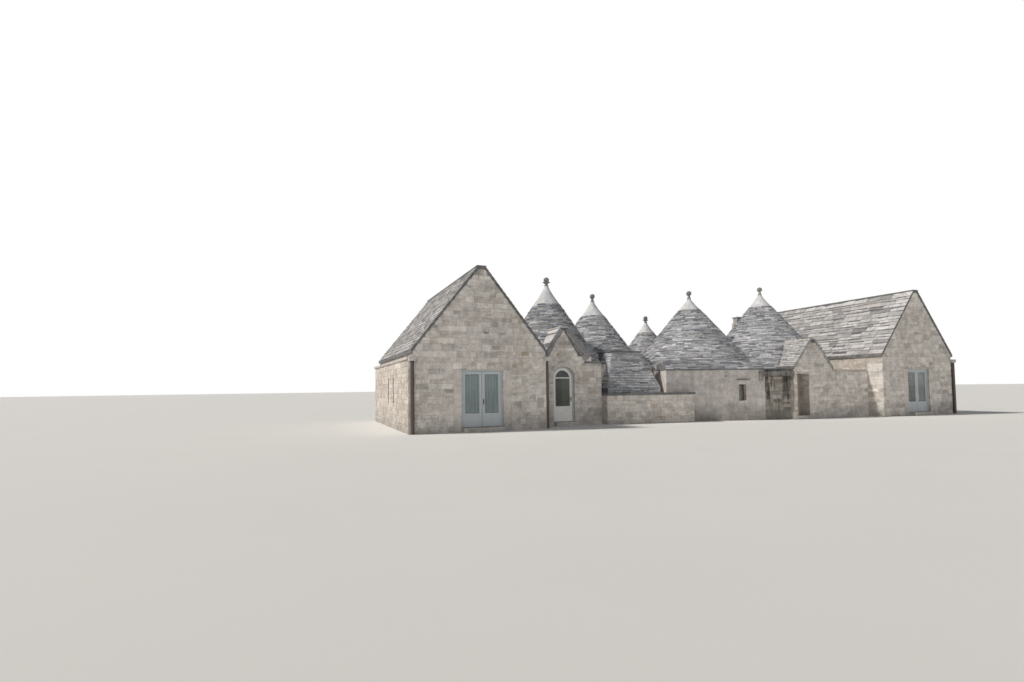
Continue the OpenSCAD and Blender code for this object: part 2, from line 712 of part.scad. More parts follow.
// First and second porch
module porch_1_wall() color(stone) site() difference() {
    block(0, front_right, porch_1_y, porch_1_y + front_t, 0, front_top);
    block(arch_l - embrasure, arch_r + embrasure, porch_1_y + arch_ring_d, far, -far, embrasure_top);
    arch_shape(arch_w / 2, arch_spring, -far, -far, far);
    half_round(arch_w / 2 + arch_ring_w + seat, arch_spring, -far, arch_frame_y1);
}
module porch_2_wall() color(stone) site() {
    y1 = porch_2_y + porch_2_wall_t;
    block(porch_2_x, porch_2_door_x, porch_2_y, y1, 0, plank_head);
    block(porch_2_door_x + plank_w, east_x, porch_2_y, y1, 0, plank_head);
    block(porch_2_x, east_x, porch_2_y, y1, plank_head, wing_top);
}
module porch_gables() color(stone) site() {
    difference() {
        across([
            [porch_1_x0, front_top], [porch_1_x1, front_top], [porch_1_x1, porch_1_under],
            [porch_1_x + porch_1_inner, porch_1_under],
            [porch_1_x, porch_1_ridge - porch_1_top_t - slope_seat],
            [porch_1_x - porch_1_inner, porch_1_under], [porch_1_x0, porch_1_under]
        ], porch_1_y, porch_1_split);
        half_round(arch_w / 2 + arch_ring_w + seat, arch_spring, -far, arch_frame_y1);
    }
    across([
        [porch_2_x, wing_top], [porch_2_x1, wing_top], [porch_2_x1, porch_2_eave - porch_2_roof_t - slope_seat],
        [porch_2_mid + porch_cap_half, porch_2_ridge - porch_2_roof_t - slope_seat],
        [porch_2_mid - porch_cap_half, porch_2_ridge - porch_2_roof_t - slope_seat],
        [porch_2_x, porch_2_eave - porch_2_roof_t - slope_seat]
    ], porch_2_y, porch_2_split);
}

// Cones as outer bodies, which also shape what dies into them
module cone_body(i, grow = 0) {
    c = CONES[i];
    translate([c[0], c[1], c[2]]) {
        cylinder(h = drip_h, r = c[3] + grow, $fn = cone_fn);
        translate([0, 0, drip_h])
            cylinder(h = c[4] - c[2] - drip_h, r1 = c[3] + grow, r2 = grow, $fn = cone_fn);
    }
}
module behind(y) block(-far, far, y, far, -far, far);
module fitted_to(i, split) difference() {
    children();
    intersection() {
        cone_body(i, seat);
        behind(split);
    }
}
// Roof stones of the first porch, from the eaves at x0 to the middle of the ridge
module porch_1_slope(x0, side) fitted_to(0, porch_1_split) across([
    [x0, porch_1_eave], [x0, porch_1_under], [porch_1_x + side * (porch_1_inner + slope_seat), porch_1_under],
    [porch_1_x, porch_1_ridge - porch_1_top_t], [porch_1_x, porch_1_ridge],
    [porch_1_x + side * porch_cap_half, porch_1_ridge]
], porch_1_y - verge, porch_1_y + porch_depth);
module porch_2_slope(x0, side) fitted_to(3, porch_2_split) across([
    [x0, porch_2_eave], [x0, porch_2_eave - porch_2_roof_t],
    [porch_2_mid + side * porch_cap_half, porch_2_ridge - porch_2_roof_t],
    [porch_2_mid, porch_2_ridge - porch_2_roof_t], [porch_2_mid, porch_2_ridge],
    [porch_2_mid + side * porch_cap_half, porch_2_ridge]
], porch_2_y - verge, porch_2_y + porch_depth);
module porch_roof_left() color(roof_stone) site() {
    porch_1_slope(porch_1_x0, -1);
    porch_2_slope(porch_2_x, -1);
}
module porch_roof_right() color(roof_stone) site() {
    porch_1_slope(porch_1_x1, 1);
    porch_2_slope(porch_2_x1, 1);
}
module porch_cap(mid, y0, z0)
    block(mid - porch_cap_half, mid + porch_cap_half, y0 - verge, y0 + porch_depth, z0, z0 + porch_cap_t);
module porch_ridge_slabs() color(white_stone) site() {
    fitted_to(0, porch_1_split) porch_cap(porch_1_x, porch_1_y, porch_1_ridge);
    fitted_to(3, porch_2_split) porch_cap(porch_2_mid, porch_2_y, porch_2_ridge);
}
module arch_ring() color(white_stone) site() difference() {
    half_round(arch_w / 2 + arch_ring_w, arch_spring, porch_1_y - arch_proud, arch_frame_y1);
    half_round(arch_w / 2, arch_spring, -far, far);
}

// Plank door, hinged at the right side of its doorway and standing ajar
module plank_place() site()
    translate([porch_2_door_x + plank_w - plank_jamb, porch_2_y + plank_back + plank_t + hinge_off, 0])
        mirror([1, 0, 0]) children();
module plank_leaf() color("#a08a63") plank_place() rotate(plank_ajar) {
    block(leaf_side, plank_w - plank_jamb - leaf_gap, -hinge_off - plank_t, -hinge_off, leaf_z0, plank_z1);
    two_heights(leaf_z0, plank_z1) leaf_knuckle(plank_w * 0.7);
}

// Fixed halves of the hinges, on the frames and on the jamb of the plank door
module door_hinges() color("#3a3733") {
    both_lamie() {
        left_leaf_place() two_heights(leaf_z0, leaf_z1) frame_hinge();
        right_leaf_place() two_heights(leaf_z0, leaf_z1) frame_hinge();
    }
    site() arched_hinges() frame_hinge();
    plank_place() two_heights(leaf_z0, plank_z1) {
        fixed_knuckle();
        translate([-plank_jamb, -strap_t / 2, -knuckle_l - seat]) cube([plank_jamb, strap_t, knuckle_l]);
    }
}

// Walls that carry the cones
module trullo_side_walls() color(stone) {
    site() difference() {
        block(front_right, front_right + front_t, porch_1_y + front_t, room_2_back, 0, front_top);
        block(0, far, room_2_y + front_t + room_door_y, room_2_y + front_t + room_door_y + inner_door_w,
            floor_h, floor_h + inner_door_h);
    }
    wing() difference() {
        block(0, wing_side_t, wing_front_t, wing_d, 0, wing_top);
        wing_doorway(-far, far);
    }
    wing() difference() {
        block(wing_room_l, room_4_left, wing_front_t, wing_inner_y, 0, wing_top);
        wing_doorway(-far, far);
    }
    site() difference() {
        plan([
            [room_4_right, porch_2_y + porch_2_wall_t], [east_x, porch_2_y + porch_2_wall_t],
            [east_x, wing_line(east_x, wing_inner_y - seat)],
            [room_4_right, wing_line(room_4_right, wing_inner_y - seat)]
        ], 0, wing_top);
        block(0, far, east_y + lamia_door_y, east_y + lamia_door_y + inner_door_w,
            floor_h, floor_h + inner_door_h);
    }
    wing() block(rear_x, rear_x + rear_t, wing_d, wing_d + rear_d - rear_back_t, 0, wing_top);
    wing() block(rear_x + rear_w - rear_t, rear_x + rear_w, wing_d, wing_d + rear_d - rear_back_t, 0, wing_top);
}
module wing_doorway(x0, x1)
    block(x0, x1, wing_door_y, wing_door_y + inner_door_w, floor_h, floor_h + inner_door_h);

module trullo_end_walls() color(stone) {
    site() block(0, front_right, room_1_back, room_1_back + front_t, 0, front_top);
    site() plan([
        [front_right + front_t, room_2_y], [wing_left(room_2_y), room_2_y],
        [wing_left(room_2_y + front_t), room_2_y + front_t], [front_right + front_t, room_2_y + front_t]
    ], 0, front_top);
    site() plan([
        [front_right + front_t, room_2_back - front_t],
        [wing_left(room_2_back - front_t), room_2_back - front_t],
        [wing_left(room_2_back), room_2_back], [front_right + front_t, room_2_back]
    ], 0, front_top);
    wing() difference() {
        plan([
            [wing_side_t, wing_inner_y], [wing_t(east_x - seat, wing_inner_y), wing_inner_y],
            [wing_t(east_x - seat, wing_d), wing_d], [wing_side_t, wing_d]
        ], 0, wing_top);
        block(rear_x + rear_w / 2 - inner_door_w / 2, rear_x + rear_w / 2 + inner_door_w / 2, -far, far,
            floor_h, floor_h + inner_door_h);
    }
    wing() block(rear_x, rear_x + rear_w, wing_d + rear_d - rear_back_t, wing_d + rear_d, 0, wing_top);
}

module wedge_wall() color(stone) difference() {
    site() plan([
        [room_2_right, room_2_y + front_t], [wing_left(room_2_y + front_t), room_2_y + front_t],
        [wing_left(room_2_back - front_t), room_2_back - front_t], [room_2_right, room_2_back - front_t]
    ], 0, front_top);
    wing() wing_doorway(-far, far);
}

// White wing front
module white_front_wall() color(white_stone) wing() difference() {
    block(0, white_l, 0, wing_front_t, 0, wing_top);
    block(window_x, window_x + window_w, -far, far, window_sill, window_sill + window_h);
}
module stained_bay_wall() color("#7d766b") wing() {
    plan([
        [white_l, bay_back], [wing_t(porch_2_seat_x, bay_back), bay_back],
        [wing_t(porch_2_seat_x, wing_front_t), wing_front_t], [white_l, wing_front_t]
    ], 0, bay_head);
    plan([
        [white_l, 0], [wing_t(porch_2_seat_x, 0), 0],
        [wing_t(porch_2_seat_x, wing_front_t), wing_front_t], [white_l, wing_front_t]
    ], bay_head, wing_top);
}
module gutter_stone() color("#8b857a") wing() {
    difference() {
        block(gutter_x1 - gutter_l, gutter_x1, -gutter_out, 0, gutter_z0, gutter_top);
        block(-far, gutter_x1 - gutter_lip, gutter_lip - gutter_out, -gutter_lip, gutter_top - channel_d, far);
    }
    for (x = [gutter_x1 - gutter_l, gutter_x1 - bracket_w])
        along([
            [0, gutter_z0], [-gutter_out, gutter_z0],
            [-gutter_out / 3, gutter_z0 - bracket_h], [0, gutter_z0 - bracket_h]
        ], x, x + bracket_w);
}
module roof_skirt() color(roof_stone) difference() {
    wing() {
        run = (skirt_h - drip_h) * cone_3_r / (cone_3_top - wing_top);
        rise = (skirt_h - drip_h) / skirt_steps;
        steps = [for (k = [0:skirt_steps - 1], up = [0, 1]) [
            run * (k + up) / skirt_steps - slab_lip + up * course_lip, wing_top + drip_h + rise * (k + up)]];
        along(concat([[-slab_lip, wing_top]], steps,
            [[wing_front_t, wing_top + skirt_h * 0.7], [wing_front_t, wing_top]]), 0, white_l);
        plan([
            [white_l, -slab_lip], [wing_t(porch_2_seat_x, -slab_lip), -slab_lip],
            [wing_t(porch_2_seat_x, wing_front_t), wing_front_t], [white_l, wing_front_t]
        ], wing_top, wing_top + drip_h);
    }
    site() {
        cone_body(2, seat);
        cone_body(3, seat);
    }
}
module window_hood() color(white_stone) wing()
    block(window_x - hood_lip, window_x + window_w + hood_lip, -hood_out, 0,
        window_sill + window_h + hood_rise, window_sill + window_h + hood_rise + hood_t);
module window_glass() color(glass) {
    wing() block(window_x, window_x + window_w, window_back, window_back + glass_t,
        window_sill, window_sill + window_h);
    both_lamie() for (y = [slit_1_y, slit_2_y])
        block(0, glass_t, y - slit_w / 2, y + slit_w / 2, slit_sill, slit_sill + slit_h);
}

// Cones, caps and finials
function cone_cap_z(c) = c[4] - c[2] - c[5];
function cone_cap_r(c) = c[3] * c[5] / (c[4] - c[2] - drip_h);
// A corbelled cone: a steep dome inside, and lipped courses of slabs outside that fall in towards the cap
module cone_shell(i) {
    c = CONES[i];
    r_in = c[3] - shell_t;
    h_in = dome_share * (c[4] - c[2]);
    inner = [for (k = [0:dome_steps]) [r_in * pow(1 - k / dome_steps, 0.75), h_in * k / dome_steps]];
    coursed_h = cone_cap_z(c) - drip_h;
    n = round(coursed_h / course_h);
    courses = [for (k = [n - 1:-1:0], up = [1, 0])
        let(share = (k + up) / n)
        [c[3] - (c[3] - cone_cap_r(c)) * share - up * course_lip, drip_h + coursed_h * share]];
    translate([c[0], c[1], c[2]]) rotate_extrude($fn = cone_fn)
        polygon(concat(inner, [[0, cone_cap_z(c)]], courses, [[c[3], 0]]));
}
module cone_1() color(roof_stone) site() difference() {
    cone_shell(0);
    across([
        [-far, -far], [eave_out + seat, -far], [eave_out + seat, lamia_eave - eave_out * lamia_slope],
        [0, lamia_eave + slope_seat], [-lamia_w / 2, lamia_ridge + slope_seat], [-far, lamia_ridge]
    ], -far, far);
    across([
        [porch_1_x0, 0], [porch_1_x1, 0], [porch_1_x1, porch_1_eave],
        [porch_1_x + porch_cap_half, porch_1_ridge + porch_cap_t],
        [porch_1_x - porch_cap_half, porch_1_ridge + porch_cap_t], [porch_1_x0, porch_1_eave]
    ], -far, porch_1_split);
}
module cone_2() color(roof_stone) site() difference() {
    cone_shell(1);
    cone_body(0, seat);
}
module cone_3() color(roof_stone) difference() {
    site() cone_shell(2);
    wing() block(-far, seat, -far, far, -far, far);
}
module cone_4() color(roof_stone) site() difference() {
    cone_shell(3);
    cone_body(2, seat);
    across([
        [porch_2_x, 0], [porch_2_x1, 0], [porch_2_x1, porch_2_eave],
        [porch_2_mid + porch_cap_half, porch_2_ridge + porch_cap_t],
        [porch_2_mid - porch_cap_half, porch_2_ridge + porch_cap_t], [porch_2_x, porch_2_eave]
    ], -far, porch_2_split);
}
module cone_5() color(roof_stone) site() difference() {
    cone_shell(4);
    cone_body(2, seat);
}
module cap(i) {
    c = CONES[i];
    r0 = cone_cap_r(c) + cap_lip;
    flare = [for (k = [0:cap_steps]) [
        neck_r + (r0 - neck_r) * pow(1 - k / cap_steps, 1.2), c[5] * k / cap_steps]];
    translate([c[0], c[1], c[2] + cone_cap_z(c)]) rotate_extrude()
        polygon(concat([[0, 0]], flare, [[0, c[5]]]));
}
module cone_caps() color(lime) site() for (i = [0:len(CONES) - 1]) cap(i);
module finial(i, saucer) {
    c = CONES[i];
    translate([c[0], c[1], c[4]]) {
        cylinder(h = collar_h, r = collar_r);
        cylinder(h = stem_h, r1 = neck_r, r2 = neck_r * 0.7);
        if (saucer) translate([0, 0, stem_h - saucer_h])
            cylinder(h = saucer_h, r1 = neck_r * 0.7, r2 = saucer_r);
        translate([0, 0, stem_h + ball_r * 0.8]) sphere(r = ball_r);
    }
}
module cone_finials() color("#8e9488") site()
    for (i = [0:len(CONES) - 1]) finial(i, i == 0 || i == len(CONES) - 1);

// Small square chimney that stands on the flank of cone 4
module chimney() color(white_stone) site() difference() {
    union() {
        chimney_block(0, wing_top, chimney_top);
        chimney_block(chimney_lip, wing_top, chimney_foot);
        chimney_block(chimney_lip, chimney_top - chimney_cap_t, chimney_top);
    }
    cone_body(3, seat);
}
module chimney_block(lip, z0, z1)
    block(chimney_x - lip, chimney_x + chimney_w + lip, chimney_y - lip, chimney_y + chimney_w + lip, z0, z1);

// Oven with its truncated pyramid roof
module oven_form() intersection() {
    across([
        [oven_x, 0], [oven_x + oven_w, 0], [oven_x + oven_w, oven_wall],
        [oven_x + oven_w - oven_in, oven_top], [oven_x + oven_in, oven_top], [oven_x, oven_wall]
    ], porch_1_y, room_2_y + oven_reach);
    along([
        [porch_1_y, 0], [room_2_y + oven_reach, 0], [room_2_y + oven_reach, oven_top],
        [porch_1_y + oven_in, oven_top], [porch_1_y, oven_wall]
    ], oven_x, oven_x + oven_w);
}
module oven_seat() {
    block(-far, far, room_2_y, far, -far, front_top);
    block(front_right, front_right + front_t, porch_1_y + front_t, far, -far, front_top);
    cone_body(0, seat);
    cone_body(1, seat);
}
module oven() color(roof_stone) site() difference() {
    oven_form();
    oven_seat();
}
module coping_slabs() color(white_stone) {
    site() difference() {
        block(oven_x + oven_in - slab_lip, oven_x + oven_w - oven_in + slab_lip,
            porch_1_y + oven_in - slab_lip, room_2_y + oven_reach, oven_top, oven_top + oven_slab);
        cone_body(0, seat);
        cone_body(1, seat);
    }
    site() difference() {
        union() {
            block(porch_1_x1, front_right, porch_1_y, porch_1_y + front_t, front_top, front_top + slab_t);
            block(coping_x, front_right, porch_1_y - slab_lip, porch_1_y, front_top, front_top + slab_t);
        }
        cone_body(0, seat);
        cone_body(1, seat);
    }
    yard() plan_round(yard_l + slab_lip, -slab_lip, yard_t, yard_h - slab_t, yard_h);
}
module yard() site() translate([front_right, yard_y, 0]) rotate(-yard_turn) children();
module plan_round(l, y0, y1, z0, z1) {
    r = (y1 - y0) / 2;
    plan([[-y0 * tan(yard_turn), y0], [l - r, y0], [l - r, y1], [-y1 * tan(yard_turn), y1]], z0, z1);
    translate([l - r, (y0 + y1) / 2, z0]) cylinder(h = z1 - z0, r = r);
}
module courtyard_wall() color(stone) yard() plan_round(yard_l, 0, yard_t, 0, yard_h - slab_t);

// Rain pipes with their clips: one at the outer corner of each lamia and one in the corner by the first porch
module rain_pipe(top, clip_turn) {
    cylinder(h = top, r = pipe_r);
    for (z = [clip_1_z, clip_2_z]) translate([0, 0, z]) rotate(clip_turn) {
        cylinder(h = clip_h, r = pipe_r + clip_t);
        translate([-pipe_r - pipe_gap, -pipe_r / 2, 0]) cube([pipe_r + pipe_gap, pipe_r, clip_h]);
    }
}
module rain_pipes() color("#5b4437") {
    site() translate([pipe_r + pipe_gap, pipe_y, 0]) rain_pipe(pipe_top, 0);
    both_lamie() translate([outer_pipe_x, -pipe_r - pipe_gap, 0]) rain_pipe(outer_pipe_top, -90);
}

lamia_front_piers();
lamia_gables();
lamia_outer_walls();
lamia_inner_walls();
lamia_rear_walls();
lamia_roof_outer();
lamia_roof_inner();
lamia_ridge_slabs();
lamia_ledge_slabs();
stone_floors();
doorsteps();
door_frames();
door_hinges();
terrace_leaf_left();
terrace_leaf_right();
terrace_glass_left();
terrace_glass_right();
east_door_leaves();
east_door_glass();
porch_1_wall();
porch_2_wall();
porch_gables();
porch_roof_left();
porch_roof_right();
porch_ridge_slabs();
arch_ring();
arched_leaf();
arched_glass();
plank_leaf();
trullo_side_walls();
trullo_end_walls();
wedge_wall();
white_front_wall();
stained_bay_wall();
gutter_stone();
roof_skirt();
window_hood();
window_glass();
cone_1();
cone_2();
cone_3();
cone_4();
cone_5();
cone_caps();
cone_finials();
chimney();
oven();
coping_slabs();
courtyard_wall();
rain_pipes();
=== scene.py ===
"""Looks of the trullo house: dry limestone walls, coursed cones, lime caps, slab roofs and painted doors."""

import math
import random

import bmesh
import bpy
from mathutils import Matrix, Vector


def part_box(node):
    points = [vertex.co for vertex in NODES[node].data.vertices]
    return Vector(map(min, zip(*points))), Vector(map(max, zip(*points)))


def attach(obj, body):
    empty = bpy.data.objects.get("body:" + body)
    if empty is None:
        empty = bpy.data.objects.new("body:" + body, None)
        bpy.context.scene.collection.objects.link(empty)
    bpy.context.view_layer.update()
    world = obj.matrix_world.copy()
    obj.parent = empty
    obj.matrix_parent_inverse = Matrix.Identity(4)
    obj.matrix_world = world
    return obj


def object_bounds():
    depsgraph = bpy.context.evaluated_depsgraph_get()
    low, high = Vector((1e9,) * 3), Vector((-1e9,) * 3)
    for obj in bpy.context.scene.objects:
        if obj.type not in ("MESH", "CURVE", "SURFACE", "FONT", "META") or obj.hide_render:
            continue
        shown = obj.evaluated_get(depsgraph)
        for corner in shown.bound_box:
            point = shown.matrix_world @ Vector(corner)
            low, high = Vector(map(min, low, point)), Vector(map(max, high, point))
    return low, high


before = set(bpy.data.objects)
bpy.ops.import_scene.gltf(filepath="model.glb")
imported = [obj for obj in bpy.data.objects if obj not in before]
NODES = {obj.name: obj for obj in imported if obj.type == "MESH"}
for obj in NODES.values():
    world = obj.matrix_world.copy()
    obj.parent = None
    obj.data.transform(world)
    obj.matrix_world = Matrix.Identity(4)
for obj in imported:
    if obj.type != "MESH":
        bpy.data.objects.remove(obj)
cad_low, cad_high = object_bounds()

# The plan, in metres. Site coordinates start at the front right corner of the west lamia
EAST_X, EAST_Y = 15.89, -1.70
SITE_MIDDLE = Vector((EAST_X / 2, 4.042874, 0))
UP = Vector((0, 0, 1))
EAST, WEST = Vector((1, 0, 0)), Vector((-1, 0, 0))
NORTH, SOUTH = Vector((0, 1, 0)), Vector((0, -1, 0))


def site(x, y, z):
    return Vector((x, y, z)) - SITE_MIDDLE


def turned(angle):
    """Directions along and into a part of the plan that is turned clockwise."""
    return Vector((math.cos(angle), -math.sin(angle), 0)), Vector((math.sin(angle), math.cos(angle), 0))


# West lamia
LAMIA_WIDTH, LAMIA_LENGTH, REAR_FOOT = 4.92, 7.90, 0.60
FAR_END = LAMIA_LENGTH + REAR_FOOT
LAMIA_EAVE, LAMIA_RIDGE, LAMIA_ROOF = 2.92, 6.00, 0.12
LAMIA_SLOPE = (LAMIA_RIDGE - LAMIA_EAVE) / (LAMIA_WIDTH / 2)
RIDGE_HALF, RIDGE_LIP = 0.178, 0.012
LAMIA_FLAT = LAMIA_RIDGE - (RIDGE_HALF - RIDGE_LIP) * LAMIA_SLOPE
LAMIA_CROWN = LAMIA_FLAT - LAMIA_ROOF / 2
LEDGE_OUT, LEDGE_UNDER, LEDGE_THICK = 0.14, 2.51, 0.09
VERGE, EAVE_OUT = 0.05, 0.06
TERRACE_X, TERRACE_WIDTH, TERRACE_HEAD, JAMB = 1.70, 1.53, 2.15, 0.29
SLITS, SLIT_WIDTH, SLIT_SILL, SLIT_HEIGHT = (3.09, 4.35), 0.22, 0.97, 0.99

# Porches: left eave, left and right edge of the flat ridge, right eave, eave height, ridge height and front
PORCH_1 = dict(x0=0.36, left=1.085, right=1.445, x1=2.505, eave=2.79, ridge=3.86, front=1.0)
PORCH_2 = dict(x0=11.24, left=12.24, right=12.60, x1=13.60, eave=2.29, ridge=3.45, front=-1.0)
PORCH_DEPTH, PORCH_GABLE = 2.60, 0.45
PORCH_1_UNDER, PORCH_1_INNER, PORCH_1_TOP, PORCH_1_MIDDLE = 2.74, 0.66, 3.80, 1.265
PORCH_2_ROOF = 0.12
ARCH_X, ARCH_WIDTH, ARCH_SPRING, ARCH_RING = 1.255, 0.93, 1.855, 0.17
PLANK_X, PLANK_WIDTH, PLANK_HEAD = 0.21, 0.70, 1.95
FRONT_RIGHT, FRONT_TOP, WING_TOP = 2.95, 2.45, 2.15
SIDE_WALL_TOP, RETURN_WALL = 2.60, 0.60
ROOM_1_BACK, ROOM_2_BACK, ROOM_2_RIGHT, ROOM_2_WIDTH = 5.40, 6.65, 7.75, 2.80

# White wing and the room behind it
WING_CORNER, WING_TURN = (5.90, 0.69), math.radians(17.4)
WING_DEPTH, WHITE_LENGTH, BAY_BACK, BAY_HEAD = 6.4, 4.3, 0.15, 1.85
REAR_X, REAR_WIDTH, REAR_DEPTH = -0.40, 4.20, 3.30
WINDOW_X, WINDOW_WIDTH, WINDOW_SILL, WINDOW_HEIGHT, WINDOW_BACK = 3.17, 0.33, 0.84, 0.69, 0.26
WING_ALONG, WING_IN = turned(WING_TURN)

# Each cone: its middle, the height of its base, its base radius, its point and the height of its lime cap
CONES = {
    "cone_1": (1.60, 3.20, 2.45, 2.30, 5.95, 0.85),
    "cone_2": (4.60, 4.40, 2.45, 2.29, 5.58, 0.72),
    "cone_3": (8.99, 2.77, 2.15, 2.97, 5.68, 0.55),
    "cone_4": (12.85, 2.15, 2.15, 3.00, 5.97, 0.62),
    "cone_5": (9.80, 7.40, 2.15, 2.10, 5.10, 0.57),
}

# Oven and courtyard wall
OVEN_LEFT, OVEN_RIGHT, OVEN_FRONT, OVEN_WALL, OVEN_TOP, OVEN_DRAW = 3.25, 5.85, 1.0, 1.46, 2.97, 0.575
ROOM_2_FRONT = 2.20
YARD_TURN, YARD_LENGTH, YARD_THICK, YARD_HEIGHT, YARD_LAP = math.radians(10), 3.90, 0.45, 1.15, 0.045
YARD_ALONG, YARD_IN = turned(YARD_TURN)


def wing(t, n, z):
    """A point t along the white wing's front and n behind it."""
    return site(*WING_CORNER, z) + WING_ALONG * t + WING_IN * n


def wing_reach(x, n):
    """Distance along the wing at which it meets a line of constant site X."""
    return (x - WING_CORNER[0] - n * math.sin(WING_TURN)) / math.cos(WING_TURN)


# Shader helpers
def socket(tree, node, name, value):
    """Links or sets an input. A colour is given as red, green and blue."""
    target = node.inputs[name]
    if isinstance(value, bpy.types.NodeSocket):
        tree.links.new(value, target)
    else:
        target.default_value = (*value, 1) if target.type == "RGBA" else value


def add(tree, kind, settings=None, **inputs):
    node = tree.nodes.new("ShaderNode" + kind)
    for key, value in (settings or {}).items():
        setattr(node, key, value)
    for key, value in inputs.items():
        socket(tree, node, key.replace("_", " "), value)
    return node


def mix_colour(tree, fac, a, b, blend="MIX"):
    node = add(tree, "Mix", dict(data_type="RGBA", blend_type=blend))
    socket(tree, node, 0, fac)
    socket(tree, node, 6, a)
    socket(tree, node, 7, b)
    return node.outputs[2]


def maths(tree, operation, a, b=0.0, clamp=False):
    node = add(tree, "Math", dict(operation=operation, use_clamp=clamp))
    socket(tree, node, 0, a)
    socket(tree, node, 1, b)
    return node.outputs[0]


def ramp(tree, value, low, high, out_low=0.0, out_high=1.0):
    return add(tree, "MapRange", Value=value, From_Min=low, From_Max=high,
               To_Min=out_low, To_Max=out_high).outputs[0]


def spread(tree, vector, scale):
    return add(tree, "Mapping", Vector=vector, Scale=scale).outputs[0]


def noise(tree, vector, scale, detail=4.0, rough=0.55):
    return add(tree, "TexNoise", Vector=vector, Scale=scale, Detail=detail,
               Roughness=rough).outputs[0]


def object_place(tree):
    return add(tree, "TexCoord").outputs["Object"]


def grey(tree, value):
    node = add(tree, "CombineColor")
    for k in range(3):
        socket(tree, node, k, value)
    return node.outputs[0]


def new_group(name, ins, outs):
    tree = bpy.data.node_groups.new(name, "ShaderNodeTree")
    for label, kind, default in ins:
        tree.interface.new_socket(label, in_out="INPUT", socket_type=kind).default_value = default
    for label, kind in outs:
        tree.interface.new_socket(label, in_out="OUTPUT", socket_type=kind)
    return tree, tree.nodes.new("NodeGroupInput").outputs, tree.nodes.new("NodeGroupOutput").inputs


def grouped(tree, group, **inputs):
    node = add(tree, "Group", dict(node_tree=group))
    for key, value in inputs.items():
        socket(tree, node, key, value)
    return node.outputs


FLOAT, COLOUR = "NodeSocketFloat", "NodeSocketColor"
LICHEN_GREY = (0.20, 0.205, 0.20)
IRON_STAIN = (0.50, 0.32, 0.17)
RAIN_BLACK = (0.07, 0.066, 0.062)
FOOT_GREY = (0.22, 0.21, 0.19)
LIME_SMEAR = (0.97, 0.915, 0.865)
OCHRE = (0.50, 0.375, 0.255)
SLATE = (0.26, 0.25, 0.245)


def build_weather_group():
    """Lichen, iron, rain streaks, lime and a darker grey towards the foot over a stone colour, with a grain
    height.
    """
    tree, i, o = new_group(
        "limestone weather",
        [("Colour", COLOUR, (0.6, 0.55, 0.5, 1)), ("Lichen", FLOAT, 0.4), ("Iron", FLOAT, 0.25),
         ("Streaks", FLOAT, 0.2), ("Foot", FLOAT, 0.5), ("Lime", FLOAT, 0.0)],
        [("Colour", COLOUR), ("Roughness", FLOAT), ("Height", FLOAT)])
    place = object_place(tree)
    blotch = noise(tree, place, 1.3, 5.0, 0.62)
    fleck = noise(tree, place, 11.0, 6.0, 0.7)
    grain = noise(tree, place, 42.0, 5.0, 0.7)
    run = noise(tree, spread(tree, place, (4.2, 4.2, 0.42)), 1.7, 4.0, 0.6)
    cloud = noise(tree, place, 0.55, 3.0, 0.5)
    smear = noise(tree, spread(tree, place, (1.0, 1.0, 1.4)), 2.4, 7.0, 0.7)
    colour = i["Colour"]
    for pattern, low, high, share, tint in (
            (fleck, 0.50, 0.66, "Lichen", LICHEN_GREY), (blotch, 0.55, 0.72, "Iron", IRON_STAIN),
            (run, 0.47, 0.64, "Streaks", RAIN_BLACK), (smear, 0.46, 0.66, "Lime", LIME_SMEAR)):
        amount = maths(tree, "MULTIPLY", ramp(tree, pattern, low, high), i[share], True)
        colour = mix_colour(tree, amount, colour, tint)
    height = add(tree, "SeparateXYZ")
    tree.links.new(place, height.inputs[0])
    low = maths(tree, "ADD", height.outputs[2], maths(tree, "MULTIPLY", blotch, -1.1))
    # Darker grey towards the foot of a face, in a blotchy band near the ground.
    foot = maths(tree, "MULTIPLY", ramp(tree, low, -0.55, 0.25, 1.0, 0.0), i["Foot"], True)
    colour = mix_colour(tree, foot, colour, FOOT_GREY)
    shade = maths(tree, "MULTIPLY", ramp(tree, noise(tree, place, 4.2, 6.0, 0.68), 0.25, 0.75, 0.72, 1.20),
                  ramp(tree, grain, 0.2, 0.8, 0.84, 1.12))
    shade = maths(tree, "MULTIPLY", shade, ramp(tree, cloud, 0.3, 0.7, 0.92, 1.06))
    colour = mix_colour(tree, 1.0, colour, grey(tree, shade), "MULTIPLY")
    tree.links.new(colour, o["Colour"])
    tree.links.new(ramp(tree, fleck, 0.2, 0.8, 0.97, 0.80), o["Roughness"])
    bumps = maths(tree, "ADD", maths(tree, "MULTIPLY", fleck, 0.6), maths(tree, "MULTIPLY", grain, 0.4))
    tree.links.new(bumps, o["Height"])
    return tree


def build_rubble_group():
    """Irregular blocks for faces without laid stones: a tone for each block, and its joints."""
    tree, i, o = new_group("rubble blocks", [("Size", FLOAT, 3.2)], [("Tone", FLOAT), ("Joint", FLOAT)])
    place = object_place(tree)
    wobble = add(tree, "TexNoise", Vector=place, Scale=2.2, Detail=2.0).outputs[1]
    small = add(tree, "VectorMath", dict(operation="SCALE"), Scale=0.12)
    socket(tree, small, 0, wobble)
    bent = add(tree, "VectorMath", dict(operation="ADD"))
    socket(tree, bent, 0, place)
    socket(tree, bent, 1, small.outputs[0])
    cells = spread(tree, bent.outputs[0], (1.0, 1.0, 1.75))
    first = add(tree, "TexVoronoi", Vector=cells, Scale=i["Size"], Randomness=0.85)
    edge = add(tree, "TexVoronoi", dict(feature="DISTANCE_TO_EDGE"),
               Vector=cells, Scale=i["Size"], Randomness=0.85)
    split = add(tree, "SeparateColor")
    tree.links.new(first.outputs["Color"], split.inputs[0])
    tree.links.new(split.outputs[0], o["Tone"])
    tree.links.new(ramp(tree, edge.outputs["Distance"], 0.0, 0.06, 1.0, 0.0), o["Joint"])
    return tree


WEATHER = build_weather_group()
RUBBLE = build_rubble_group()


